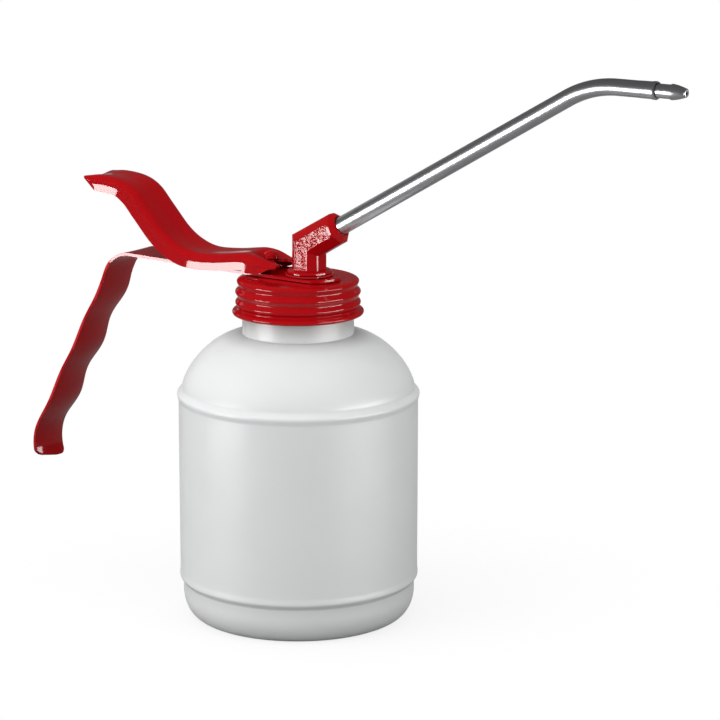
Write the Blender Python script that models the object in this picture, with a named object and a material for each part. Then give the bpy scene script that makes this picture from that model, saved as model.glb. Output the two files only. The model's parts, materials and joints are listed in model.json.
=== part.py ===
"""Pump oil can: a polyethylene bottle, a screw cap with a lift pump, a thumb lever, a grip and a bent spout.

Lengths are in metres. The origin is the middle of the bottle's base, +Z is up, the spout points to +X
and the grip hangs at -X. Pressing the lever lifts the plunger; its spring pushes it back down.
"""
import math

import bmesh
import bpy
from mathutils import Matrix, Vector

# Clearances and cuts
SEAT_GAP = 0.0003
SLIDING_GAP = 0.00015
THREAD_GAP = 0.00038
CUT_OVERRUN = 0.002

# Bottle, blow moulded
BOTTLE_RADIUS = 0.0435
BOTTLE_WALL = 0.0012
BASE_THICKNESS = 0.0016
PAD_RADIUS = 0.009
RECESS_INNER_RADIUS = 0.0115
RECESS_OUTER_RADIUS = 0.027
RECESS_DEPTH = 0.0011
FOOT_INSET = 0.0062
FOOT_CORNER_HEIGHT = 0.0096
SKIRT_INSET = 0.00114
LOWER_BEAD_HEIGHT = 0.0154
LOWER_BEAD_REACH = 0.0024
LOWER_BEAD_RISE = 0.0002
UPPER_BEAD_HEIGHT = 0.083
UPPER_BEAD_REACH = 0.00266
UPPER_BEAD_RISE = 0.00053
DOME_INSET = 0.00133
DOME_HEIGHT = 0.01944
DOME_WIDTH_POWER = 1.13
DOME_HEIGHT_POWER = 1.38
NECK_RADIUS = 0.0202
NECK_LENGTH = 0.0175
FINISH_HEIGHT = 0.009
LIP_LAND = 0.0012
MOUTH_RADIUS = 0.0188

# Thread inside the cap and on the neck, right-handed
THREAD_PITCH = 0.0037
THREAD_DEPTH = 0.0006
THREAD_ROWS_PER_PITCH = 5

# Screw cap, pressed steel with beads rolled round its skirt
CAP_RADIUS = 0.0223
CAP_SHEET = 0.0005
CAP_HEIGHT = 0.0131
CAP_SHOULDER = 0.0022
CAP_BEAD_DEPTH = 0.0006
CAP_BEAD_PITCH = 0.0037
CAP_BEAD_DROP = 0.0016
CAP_BEAD_ROWS = 4
RIM_RADIUS = 0.0238
RIM_HEIGHT = 0.0029
RIM_OUTER_SHARES = ((0.0, 1.0), (0.25, 0.78), (0.7, 0.55), (1.0, 0.3), (0.95, 0.08), (0.8, 0.0))
RIM_INNER_SHARES = ((0.55, 0.0), (0.4, 0.12), (0.3, 0.4), (0.12, 0.7), (0.0, 1.0))
RING_GASKET_THICKNESS = 0.0016
RING_GASKET_INSET = 0.001

# Grip strip, flat steel
STRIP_WIDTH = 0.01685
STRIP_THICKNESS = 0.0011
STRIP_END_X = 0.0086
STRIP_LEVEL_X = -0.022
STRIP_CORNER_X = -0.079
STRIP_RISE = 0.001
STRIP_BEND_RADIUS = 0.0118
STRIP_DROP_ANGLE = math.radians(61)
STRIP_DROP_LENGTH = 0.0745
GRIP_WAVE_LENGTH = 0.025
GRIP_WAVE_DEPTH = 0.0011
GRIP_CURL_RADIUS = 0.0175
GRIP_CURL_LENGTH = 0.016
GRIP_END_ROUNDING = 0.0045
GRIP_DISH = 0.0009
GRIP_DISH_START_X = -0.048
GRIP_DISH_LENGTH = 0.02
SADDLE_DEPTH = 0.0005
SADDLE_REACH = 0.002

# Clamp washer and spout elbow, zinc casting
ELBOW_X = 0.005
WASHER_RADIUS = 0.0087
WASHER_THICKNESS = 0.0005
FLANGE_RADIUS = 0.008
FLANGE_THICKNESS = 0.001
STEM_DEPTH = 0.0114
STEM_WIDTH = 0.0108
STEM_CHAMFER = 0.0027
ARM_END_CHAMFER = 0.0036
ARM_END_BEVEL = 0.002
ARM_LENGTH = 0.0165
STEM_HEIGHT = 0.0091
SHANK_RADIUS = 0.005
SHANK_ENGAGEMENT = 0.006
VALVE_WELL_RADIUS = 0.0026
VALVE_WELL_HEIGHT = 0.0128
SEAT_WELL_RADIUS = 0.0033
SEAT_WELL_DEPTH = 0.002
PASSAGE_RADIUS = 0.0013
SPOUT_SOCKET_DEPTH = 0.0088

# Spout tube and nozzle
SPOUT_ANGLE = math.radians(29.8)
SPOUT_ROOT_RADIUS = 0.00325
SPOUT_BEND_START_RADIUS = 0.003
SPOUT_TIP_RADIUS = 0.00285
SPOUT_MOUTH_RADIUS = 0.0031
SPOUT_WALL = 0.0006
SPOUT_TOP_RISE = 0.06587
SPOUT_BEND_RADIUS = 0.038
SPOUT_LEVEL_LENGTH = 0.015
SWAGE_LENGTH = 0.0065
SWAGE_WALL = 0.0004
NOZZLE_BODY_LENGTH = 0.0068
NOZZLE_CONE_LENGTH = 0.004
NOZZLE_TIP_RADIUS = 0.0015
NOZZLE_BORE_RADIUS = 0.0006

# Thumb lever, pressed steel channel
LEVER_WIDTH = 0.0194
LEVER_SHEET = 0.001
LEVER_FOLD_RADIUS = 0.0024
LEVER_FLANGE_DEPTH = 0.0053
LEVER_FRONT_X = -0.0022
LEVER_LENGTH = 0.0901
LEVER_TIP_RISE = 0.0246
LEVER_VALLEY_HEIGHT = 0.0042
LEVER_TIP_LEAN = 0.8
LEVER_DISH = 0.0011
DISH_EDGE_SHARE = 0.85
LEVER_POCKET_DEPTH = 0.0022
LEVER_END_HALF_WIDTH = 0.003
LEVER_END_FOLD_RADIUS = 0.0012
TONGUE_LENGTH = 0.0125
LEVER_RUN_SHARES = (0.0, 0.064, 0.13, 0.181, 0.215, 0.323, 0.431, 0.519, 0.595,
                    0.68, 0.746, 0.814, 0.915, 1.0)
LEVER_RISE_SHARES = (0.045, 0.057, 0.077, 0.093, 0.085, 0.028, 0.0, 0.069, 0.232,
                     0.553, 0.817, 0.955, 1.0, 1.0)
SLOT_HALF_WIDTH = 0.0017
SLOT_BACK_REACH = 0.0023
SLOT_FRONT_REACH = 0.0056
FULCRUM_X = -0.038
FULCRUM_RADIUS = 0.00085

# Plunger, piston and their seals
ROD_X = -0.012
ROD_RADIUS = 0.0013
HEAD_RADIUS = 0.0027
HEAD_HEIGHT = 0.0027
HEAD_PLAY = 0.0006
PISTON_LENGTH = 0.011
PISTON_TOP_DROP = 0.0142
PISTON_ROD_DEPTH = 0.0038
PISTON_VALVE_RADIUS = 0.0024
PISTON_PORT_RADIUS = 0.00055
PISTON_PORT_CIRCLE = 0.0026
PISTON_GROOVE_DEPTH = 0.0008
PISTON_GROOVE_HEIGHT = 0.0018
PISTON_GROOVE_DROP = 0.0009
PISTON_SEAT_HEIGHT = 0.0016
PISTON_SEAT_BORE = 0.0012
PISTON_BALL_RADIUS = 0.0016

# Pump body, zinc casting under the cap
BODY_GASKET_THICKNESS = 0.0006
BODY_RADIUS = 0.0176
BODY_THICKNESS = 0.004
BORE_RADIUS = 0.0039
BARREL_WALL = 0.0015
PISTON_FOOT_GAP = 0.0043
SEAL_WELL_RADIUS = 0.0032
SEAL_WELL_DEPTH = 0.002
BOSS_WALL = 0.0017
CHAMBER_DEPTH = 0.004
BOSS_FLOOR = 0.002
GALLERY_RADIUS = 0.0011
PLUG_RADIUS = 0.0014
PLUG_LENGTH = 0.0012
RIB_WIDTH = 0.0052

# Valves, springs and suction line
VALVE_LIFT = 0.0006
BALL_SEAT_GAP = 0.00025
FOOT_FLANGE_HEIGHT = 0.0037
FOOT_BARB_LENGTH = 0.006
FOOT_BARB_RADIUS = 0.0019
FOOT_BORE_RADIUS = 0.0012
FOOT_SEAT_HEIGHT = 0.005
FOOT_CHAMBER_RADIUS = 0.0026
FOOT_LIP_RADIUS = 0.0015
FOOT_LIP_HEIGHT = 0.0008
FOOT_BALL_RADIUS = 0.0019
OUTLET_SEAT_BORE = 0.0013
OUTLET_BALL_RADIUS = 0.0018
RETURN_WIRE_RADIUS = 0.00035
RETURN_COIL_RADIUS = 0.0029
RETURN_TURNS = 5
OUTLET_WIRE_RADIUS = 0.0002
OUTLET_COIL_RADIUS = 0.0015
OUTLET_TURNS = 5
DIP_TUBE_WALL = 0.0006
DIP_TUBE_FLOOR_GAP = 0.0045
STRAINER_WALL = 0.0006
STRAINER_HEIGHT = 0.009
STRAINER_FLOOR_GAP = 0.0012
STRAINER_SLOTS = 4
STRAINER_SLOT_WIDTH = 0.0012
STRAINER_SLOT_HEIGHT = 0.002

# Counts of facets
BOTTLE_SIDES = 32
ROUND_SIDES = 20
SMALL_SIDES = 12
WIRE_SIDES = 5
WIRE_STEPS_PER_TURN = 10
BEAD_STEPS = 3

# Radii of the thread, worked out inwards from the cap's beads
CAP_THREAD_RADIUS = CAP_RADIUS - CAP_BEAD_DEPTH / 2 - CAP_SHEET - THREAD_DEPTH / 2
NECK_THREAD_RADIUS = CAP_THREAD_RADIUS - THREAD_GAP

# Heights of the stacked pieces, worked out upwards from the bottle's foot
DOME_START = UPPER_BEAD_HEIGHT + UPPER_BEAD_REACH
DOME_TOP = DOME_START + DOME_HEIGHT
LIP_TOP = DOME_TOP + NECK_LENGTH
RING_GASKET_BOTTOM = LIP_TOP + SEAT_GAP
CAP_UNDERSIDE = RING_GASKET_BOTTOM + RING_GASKET_THICKNESS + SEAT_GAP
CAP_TOP = CAP_UNDERSIDE + CAP_SHEET
STRIP_BOTTOM = CAP_TOP + SEAT_GAP
STRIP_TOP = STRIP_BOTTOM + STRIP_THICKNESS
WASHER_BOTTOM = STRIP_TOP + SEAT_GAP
FLANGE_BOTTOM = WASHER_BOTTOM + WASHER_THICKNESS + SEAT_GAP
FLANGE_TOP = FLANGE_BOTTOM + FLANGE_THICKNESS
ELBOW_CORNER_Z = FLANGE_TOP + STEM_HEIGHT
BODY_GASKET_BOTTOM = CAP_UNDERSIDE - SEAT_GAP - BODY_GASKET_THICKNESS
BODY_TOP = BODY_GASKET_BOTTOM - SEAT_GAP
BODY_BOTTOM = BODY_TOP - BODY_THICKNESS
SHANK_BOTTOM = BODY_TOP - SHANK_ENGAGEMENT
CHAMBER_FLOOR = SHANK_BOTTOM - CHAMBER_DEPTH
GALLERY_Z = SHANK_BOTTOM - CHAMBER_DEPTH / 2
PISTON_TOP = BODY_BOTTOM - PISTON_TOP_DROP + SEAT_GAP
PISTON_BOTTOM = PISTON_TOP - PISTON_LENGTH
FOOT_BALL_RISE = math.sqrt(FOOT_BALL_RADIUS ** 2 - FOOT_BORE_RADIUS ** 2) + BALL_SEAT_GAP
FOOT_CHAMBER_HEIGHT = FOOT_BALL_RISE + FOOT_BALL_RADIUS + VALVE_LIFT + SEAT_GAP
FOOT_BODY_HEIGHT = FOOT_SEAT_HEIGHT + FOOT_CHAMBER_HEIGHT + FOOT_LIP_HEIGHT
BARREL_BOTTOM = PISTON_BOTTOM - PISTON_FOOT_GAP - (FOOT_BODY_HEIGHT - FOOT_FLANGE_HEIGHT) + SEAT_GAP
HOLE_RADIUS = SHANK_RADIUS + SEAT_GAP
ROD_HOLE_RADIUS = ROD_RADIUS + SEAT_GAP

# Lever and plunger, worked out from the strip that carries them
LEVER_BASE_Z = STRIP_TOP + LEVER_VALLEY_HEIGHT - LEVER_DISH
LEVER_TIP_X = LEVER_FRONT_X - LEVER_LENGTH


def strip_rise(x):
    """Height that the strip has gained at x on its way out to the bend."""
    share = (STRIP_LEVEL_X - x) / (STRIP_LEVEL_X - STRIP_CORNER_X)
    return STRIP_RISE * min(max(share, 0.0), 1.0)


FULCRUM_Z = STRIP_TOP + strip_rise(FULCRUM_X) - SADDLE_DEPTH + SEAT_GAP + FULCRUM_RADIUS


class Shell:
    """Vertices and faces of one closed surface."""

    def __init__(self):
        self.vertices = []
        self.faces = []

    def ring(self, points):
        """Adds a ring of points and returns their numbers."""
        first = len(self.vertices)
        self.vertices.extend(Vector(point) for point in points)
        return list(range(first, len(self.vertices)))

    def bridge(self, low, high):
        """Joins two rings, one of which may be a single point."""
        count = max(len(low), len(high))
        for index in range(count):
            after = (index + 1) % count
            corners = [low[index % len(low)], low[after % len(low)]]
            corners += [high[after % len(high)], high[index % len(high)]]
            self.faces.append(list(dict.fromkeys(corners)))

    def close(self, ring):
        """Fills a ring with one flat face."""
        self.faces.append(list(ring))


def material(name, colour, roughness, metallic):
    """A plain finish for one kind of piece."""
    finish = bpy.data.materials.new(name)
    finish.use_nodes = True
    shader = finish.node_tree.nodes["Principled BSDF"]
    shader.inputs["Base Color"].default_value = (*colour, 1.0)
    shader.inputs["Roughness"].default_value = roughness
    shader.inputs["Metallic"].default_value = metallic
    return finish


def piece(name, shell, finish, origin=(0.0, 0.0, 0.0)):
    """Makes an object from a shell, with its origin at a joint's axis."""
    origin = Vector(origin)
    mesh = bpy.data.meshes.new(name)
    mesh.from_pydata([vertex - origin for vertex in shell.vertices], [], shell.faces)
    form = bmesh.new()
    form.from_mesh(mesh)
    bmesh.ops.recalc_face_normals(form, faces=form.faces)
    form.to_mesh(mesh)
    form.free()
    mesh.materials.append(finish)
    mesh.shade_smooth()
    mesh.set_sharp_from_angle(angle=math.radians(35))
    thing = bpy.data.objects.new(name, mesh)
    thing.location = origin
    bpy.context.collection.objects.link(thing)
    return thing


def combine(target, tool_shell, operation="DIFFERENCE"):
    """Cuts a shell out of an object, or adds it with operation UNION."""
    tool = piece(target.name + "_tool", tool_shell, target.data.materials[0])
    tool.hide_render = True
    tool.display_type = "WIRE"
    step = target.modifiers.new(operation.title(), "BOOLEAN")
    step.operation = operation
    step.solver = "EXACT"
    step.object = tool


def arc(centre, reach, start, stop, steps):
    """Points of an ellipse's arc, as (across, up); the angles are in degrees."""
    points = []
    for step in range(steps + 1):
        angle = math.radians(start + (stop - start) * step / steps)
        points.append((centre[0] + reach[0] * math.cos(angle), centre[1] + reach[1] * math.sin(angle)))
    return points


def thread_ripple(angle, height):
    """Radius that the thread adds at an angle and height."""
    return THREAD_DEPTH / 2 * math.cos(2 * math.pi * height / THREAD_PITCH - angle)


def lathe(profile, sides, frame=None):
    """Turns a profile of (radius, height) or (radius, height, thread share) about the frame's Z axis.

    A profile that doesn't start on the axis is a closed outline, and makes a ring.
    """
    frame = frame or Matrix.Identity(4)
    shell = Shell()
    rings = []
    for radius, height, *share in profile:
        if radius == 0.0:
            rings.append(shell.ring([frame @ Vector((0.0, 0.0, height))]))
            continue
        points = []
        for side in range(sides):
            angle = 2 * math.pi * side / sides
            reach = radius + (share[0] * thread_ripple(angle, height) if share else 0.0)
            points.append(frame @ Vector((reach * math.cos(angle), reach * math.sin(angle), height)))
        rings.append(shell.ring(points))
    for low, high in zip(rings, rings[1:]):
        shell.bridge(low, high)
    if profile[0][0] != 0.0:
        shell.bridge(rings[-1], rings[0])
    return shell


def rod(radius, bottom, top, x=0.0, sides=ROUND_SIDES):
    """A plain upright cylinder."""
    outline = [(0.0, bottom), (radius, bottom), (radius, top), (0.0, top)]
    return lathe(outline, sides, Matrix.Translation((x, 0.0, 0.0)))


def collar(inner, outer, bottom, top, x=0.0, sides=ROUND_SIDES):
    """A plain upright ring."""
    outline = [(inner, bottom), (outer, bottom), (outer, top), (inner, top)]
    return lathe(outline, sides, Matrix.Translation((x, 0.0, 0.0)))


def block(low, high):
    """A plain box between two corners."""
    shell = Shell()
    rings = []
    for z in (low[2], high[2]):
        corners = ((low[0], low[1]), (high[0], low[1]), (high[0], high[1]), (low[0], high[1]))
        rings.append(shell.ring([(x, y, z) for x, y in corners]))
    shell.bridge(rings[0], rings[1])
    shell.close(rings[0])
    shell.close(rings[1])
    return shell


def ball(radius, height, x, sides=SMALL_SIDES):
    """A ball whose centre is at the height."""
    steps = sides // 2
    profile = [(0.0, height - radius)]
    for step in range(1, steps):
        angle = math.pi * step / steps
        profile.append((radius * math.sin(angle), height - radius * math.cos(angle)))
    profile.append((0.0, height + radius))
    return lathe(profile, sides, Matrix.Translation((x, 0.0, 0.0)))


def ball_rest(ball_radius, bore_radius, seat_top):
    """Height of a ball's centre on the edge of a bore."""
    return seat_top + math.sqrt(ball_radius ** 2 - bore_radius ** 2) + BALL_SEAT_GAP


def coil(wire, radius, bottom, top, turns, x):
    """A spring of round wire between two heights."""
    shell = Shell()
    steps = turns * WIRE_STEPS_PER_TURN
    low = bottom + wire
    climb = (top - wire - low) / steps
    rings = []
    for step in range(steps + 1):
        angle = 2 * math.pi * step / WIRE_STEPS_PER_TURN
        outward = Vector((math.cos(angle), math.sin(angle), 0.0))
        centre = Vector((x, 0.0, low + climb * step)) + outward * radius
        points = []
        for side in range(WIRE_SIDES):
            turn = 2 * math.pi * side / WIRE_SIDES
            lift = Vector((0.0, 0.0, wire * math.sin(turn)))
            points.append(centre + outward * wire * math.cos(turn) + lift)
        rings.append(shell.ring(points))
    for low_ring, high_ring in zip(rings, rings[1:]):
        shell.bridge(low_ring, high_ring)
    shell.close(rings[0])
    shell.close(rings[-1])
    return shell


def smooth_curve(points, steps):
    """A Catmull-Rom curve through points, with the same number of steps between each two."""
    points = [Vector(point) for point in points]
    padded = [points[0] * 2 - points[1]] + points + [points[-1] * 2 - points[-2]]
    curve = []
    for before, start, stop, after in zip(padded, padded[1:], padded[2:], padded[3:]):
        for step in range(steps):
            t = step / steps
            bend = (before * 2 - start * 5 + stop * 4 - after) * t ** 2
            twist = (start * 3 - before - stop * 3 + after) * t ** 3
            curve.append((start * 2 + (stop - before) * t + bend + twist) / 2)
    curve.append(points[-1])
    return curve


def tangents(path):
    """Unit directions along a path."""
    directions = []
    for index in range(len(path)):
        ahead = path[min(index + 1, len(path) - 1)]
        behind = path[max(index - 1, 0)]
        directions.append((ahead - behind).normalized())
    return directions


def bottle_profile():
    """The bottle's outline, up its outside and down its inside."""
    skirt = BOTTLE_RADIUS - SKIRT_INSET
    foot = skirt - FOOT_INSET
    dome = BOTTLE_RADIUS - DOME_INSET
    mean = NECK_THREAD_RADIUS
    root = mean - THREAD_DEPTH / 2
    finish = LIP_TOP - FINISH_HEIGHT
    outer = [(0.0, 0.0), (PAD_RADIUS, 0.0), (RECESS_INNER_RADIUS, RECESS_DEPTH)]
    outer += [(RECESS_OUTER_RADIUS - RECESS_DEPTH, RECESS_DEPTH), (RECESS_OUTER_RADIUS, 0.0)]
    outer += arc((foot, FOOT_CORNER_HEIGHT), (FOOT_INSET, FOOT_CORNER_HEIGHT), -90, 0, 5)
    lower_crest = BOTTLE_RADIUS + LOWER_BEAD_RISE
    upper_crest = BOTTLE_RADIUS + UPPER_BEAD_RISE
    outer += bead(LOWER_BEAD_HEIGHT, LOWER_BEAD_REACH, skirt, lower_crest, BOTTLE_RADIUS)
    outer += bead(UPPER_BEAD_HEIGHT, UPPER_BEAD_REACH, BOTTLE_RADIUS, upper_crest, dome)
    outer += dome_points(dome, NECK_RADIUS, DOME_START, 8)
    outer += [(NECK_RADIUS, finish - (root - NECK_RADIUS)), (root, finish)]
    thread_top = LIP_TOP - LIP_LAND
    thread_start = finish + LIP_LAND / 2
    rows = round((thread_top - finish) / THREAD_PITCH * THREAD_ROWS_PER_PITCH)
    for row in range(rows + 1):
        share = min(row / 2, (rows - row) / 2, 1.0)
        radius = mean - (1 - share) * THREAD_DEPTH / 2
        outer.append((radius, thread_start + (thread_top - thread_start) * row / rows, share))
    outer += [(root - LIP_LAND / 3, LIP_TOP - LIP_LAND / 3), (root - LIP_LAND, LIP_TOP)]
    inner_radius = BOTTLE_RADIUS - BOTTLE_WALL
    inner_dome_start = DOME_START - UPPER_BEAD_REACH
    inner = [(MOUTH_RADIUS + LIP_LAND / 3, LIP_TOP), (MOUTH_RADIUS, LIP_TOP - LIP_LAND / 3)]
    inner += dome_points(inner_radius - DOME_INSET, MOUTH_RADIUS, inner_dome_start + BOTTLE_WALL, 6)[::-1]
    corner = FOOT_CORNER_HEIGHT + BOTTLE_WALL
    inner += [(inner_radius, UPPER_BEAD_HEIGHT - UPPER_BEAD_REACH)]
    inner += [(inner_radius, LOWER_BEAD_HEIGHT + LOWER_BEAD_REACH + BOTTLE_WALL)]
    inner += [(skirt - BOTTLE_WALL, LOWER_BEAD_HEIGHT)]
    inner += arc((foot - BOTTLE_WALL, corner), (FOOT_INSET, corner - BASE_THICKNESS), 0, -90, 4)
    inner += [(RECESS_OUTER_RADIUS + BASE_THICKNESS, BASE_THICKNESS)]
    inner += [(RECESS_OUTER_RADIUS - BASE_THICKNESS, RECESS_DEPTH + BASE_THICKNESS)]
    inner += [(0.0, RECESS_DEPTH + BASE_THICKNESS)]
    return outer + inner


def bead(height, reach, below, crest, above):
    """Points of a bead that runs round the bottle between two radii."""
    points = []
    for step in range(-BEAD_STEPS, BEAD_STEPS + 1):
        share = (1 + math.cos(math.pi * step / BEAD_STEPS)) / 2
        side = below if step < 0 else above
        points.append((side + (crest - side) * share, height + reach * step / BEAD_STEPS))
    return points


def dome_points(wide, narrow, start, steps):
    """Points of the shoulder from its foot to the neck."""
    points = []
    for step in range(1, steps + 1):
        angle = math.pi / 2 * step / steps
        radius = narrow + (wide - narrow) * max(math.cos(angle), 0.0) ** DOME_WIDTH_POWER
        points.append((radius, start + (DOME_TOP - start) * math.sin(angle) ** DOME_HEIGHT_POWER))
    return points


def screw_cap_profile():
    """The cap's outline, down its beaded outside and up its threaded inside."""
    valley = CAP_RADIUS - CAP_BEAD_DEPTH / 2
    crest = CAP_RADIUS + CAP_BEAD_DEPTH / 2
    rim_bottom = CAP_TOP - CAP_HEIGHT
    rim_top = rim_bottom + RIM_HEIGHT
    first_bead = CAP_TOP - CAP_BEAD_DROP
    outer = [(0.0, CAP_TOP)]
    outer += arc((crest - CAP_SHOULDER, first_bead), (CAP_SHOULDER, CAP_BEAD_DROP), 90, 0, 3)
    rows = round((first_bead - rim_top) / CAP_BEAD_PITCH * CAP_BEAD_ROWS)
    for row in range(1, rows):
        drop = (first_bead - rim_top) * row / rows
        swell = CAP_BEAD_DEPTH / 2 * math.cos(2 * math.pi * drop / CAP_BEAD_PITCH)
        outer.append((CAP_RADIUS + swell, first_bead - drop))
    for across, up in RIM_OUTER_SHARES:
        outer.append((valley + (RIM_RADIUS - valley) * across, rim_bottom + RIM_HEIGHT * up))

    wide = CAP_THREAD_RADIUS + THREAD_DEPTH / 2
    inner = [(wide + (RIM_RADIUS - wide) * a, rim_bottom + RIM_HEIGHT * b) for a, b in RIM_INNER_SHARES]
    thread_top = CAP_UNDERSIDE - CAP_SHOULDER
    rows = round((thread_top - rim_top) / THREAD_PITCH * THREAD_ROWS_PER_PITCH)
    for row in range(1, rows):
        share = min(row / 2, (rows - row) / 2, 1.0)
        radius = CAP_THREAD_RADIUS + (1 - share) * THREAD_DEPTH / 2
        inner.append((radius, rim_top + (thread_top - rim_top) * row / rows, share))
    bend = CAP_SHOULDER - CAP_SHEET
    inner += arc((wide - bend, CAP_UNDERSIDE - bend), (bend, bend), 0, 90, 2)
    inner.append((0.0, CAP_UNDERSIDE))
    return outer + inner


def strip_path():
    """The middle line of the grip strip, from its front end out, down and round the curl."""
    middle = STRIP_BOTTOM + STRIP_THICKNESS / 2
    half = STRIP_WIDTH / 2
    stations = []
    for step in range(1, 7):
        angle = math.pi / 2 * step / 6
        stations.append((STRIP_END_X + half * math.cos(angle), middle, half * math.sin(angle)))
    turn = STRIP_DROP_ANGLE
    bend_start = STRIP_CORNER_X + STRIP_BEND_RADIUS * math.tan(turn / 2)
    run = [STRIP_LEVEL_X]
    run += [FULCRUM_X - SADDLE_REACH * share for share in (-1.0, -0.6, -0.3, 0.0, 0.3, 0.6, 1.0)]
    run.append(bend_start)
    for x in run:
        dip = 0.0
        if abs(x - FULCRUM_X) < SADDLE_REACH:
            dip = SADDLE_DEPTH * math.cos(math.pi / 2 * (x - FULCRUM_X) / SADDLE_REACH) ** 2
        stations.append((x, middle + strip_rise(x) - dip, half))
    centre_z = middle + strip_rise(bend_start) - STRIP_BEND_RADIUS
    for step in range(1, 7):
        angle = turn * step / 6
        x = bend_start - STRIP_BEND_RADIUS * math.sin(angle)
        stations.append((x, centre_z + STRIP_BEND_RADIUS * math.cos(angle), half))
    along = Vector((-math.cos(turn), 0.0, -math.sin(turn)))
    inward = Vector((math.sin(turn), 0.0, -math.cos(turn)))
    foot = Vector((stations[-1][0], 0.0, stations[-1][1]))
    steps = max(round(STRIP_DROP_LENGTH / GRIP_WAVE_LENGTH * 9), 6)
    for step in range(1, steps + 1):
        travel = STRIP_DROP_LENGTH * step / steps
        push = GRIP_WAVE_DEPTH / 2 * (1 - math.cos(2 * math.pi * travel / GRIP_WAVE_LENGTH))
        point = foot + along * travel + inward * push
        stations.append((point.x, point.z, half))
    start = foot + along * STRIP_DROP_LENGTH
    start += inward * (push + GRIP_CURL_RADIUS)
    plain = GRIP_CURL_LENGTH - GRIP_END_ROUNDING
    lengths = [plain / 2, plain]
    lengths += [plain + GRIP_END_ROUNDING * math.sin(math.pi / 2 * step / 5) for step in range(1, 6)]
    for length in lengths:
        angle = length / GRIP_CURL_RADIUS
        point = start + (along * math.sin(angle) - inward * math.cos(angle)) * GRIP_CURL_RADIUS
        past = max(length - plain, 0.0) / GRIP_END_ROUNDING
        width = half - GRIP_END_ROUNDING * (1 - math.sqrt(max(1 - past ** 2, 0.0)))
        stations.append((point.x, point.z, width))
    return stations


def strip_shell():
    """The grip strip: a flat bar bent along its path, dished along the grip."""
    stations = strip_path()
    path = [Vector((x, 0.0, z)) for x, z, _ in stations]
    shell = Shell()
    rings = []
    for point, direction, (x, _, width) in zip(path, tangents(path), stations):
        outward = Vector((direction.z, 0.0, -direction.x))
        dish = GRIP_DISH * ease((GRIP_DISH_START_X - x) / GRIP_DISH_LENGTH)
        ring = []
        for side, shares in ((1, (-1.0, -0.5, 0.0, 0.5, 1.0)), (-1, (1.0, 0.5, 0.0, -0.5, -1.0))):
            for share in shares:
                rise = side * STRIP_THICKNESS / 2 - dish * (1 - share ** 2)
                ring.append(point + outward * rise + Vector((0.0, width * share, 0.0)))
        rings.append(shell.ring(ring))
    for low, high in zip(rings, rings[1:]):
        shell.bridge(low, high)
    shell.close(rings[0])
    shell.close(rings[-1])
    return shell


def elbow_ring(half_depth, half_width, chamfer):
    """Corners of the casting's eight-sided section, as (across, sideways)."""
    a, b = half_depth - chamfer, half_width - chamfer
    right = [(a, -half_width), (half_depth, -b), (half_depth, b), (a, half_width)]
    return right + [(-across, -sideways) for across, sideways in right]


def elbow_shell():
    """The casting's stem and arm, mitred where they meet."""
    corner = Vector((ELBOW_X, 0.0, ELBOW_CORNER_Z))
    along = Vector((math.cos(SPOUT_ANGLE), 0.0, math.sin(SPOUT_ANGLE)))
    upward = Vector((-math.sin(SPOUT_ANGLE), 0.0, math.cos(SPOUT_ANGLE)))
    stem = elbow_ring(STEM_DEPTH / 2, STEM_WIDTH / 2, STEM_CHAMFER)
    end = elbow_ring(STEM_DEPTH / 2, STEM_WIDTH / 2, ARM_END_CHAMFER)
    face = elbow_ring(STEM_DEPTH / 2 - ARM_END_BEVEL, STEM_WIDTH / 2 - ARM_END_BEVEL, ARM_END_CHAMFER / 2)
    shell = Shell()
    bottom = FLANGE_TOP - FLANGE_THICKNESS / 2
    rings = [shell.ring([Vector((ELBOW_X + a, b, bottom)) for a, b in stem])]
    mitre = []
    for a, b in stem:
        travel = a * (1 - math.sin(SPOUT_ANGLE)) / math.cos(SPOUT_ANGLE)
        mitre.append(corner + along * travel - upward * a + Vector((0.0, b, 0.0)))
    rings.append(shell.ring(mitre))
    for section, travel in ((end, ARM_LENGTH - ARM_END_BEVEL), (face, ARM_LENGTH)):
        middle = corner + along * travel
        rings.append(shell.ring([middle - upward * a + Vector((0.0, b, 0.0)) for a, b in section]))
    for low, high in zip(rings, rings[1:]):
        shell.bridge(low, high)
    shell.close(rings[0])
    shell.close(rings[-1])
    return shell


def arm_frame():
    """A frame whose Z axis runs out along the spout's straight part, from the elbow's corner."""
    turn = Matrix.Rotation(math.pi / 2 - SPOUT_ANGLE, 4, "Y")
    return Matrix.Translation((ELBOW_X, 0.0, ELBOW_CORNER_Z)) @ turn


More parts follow.
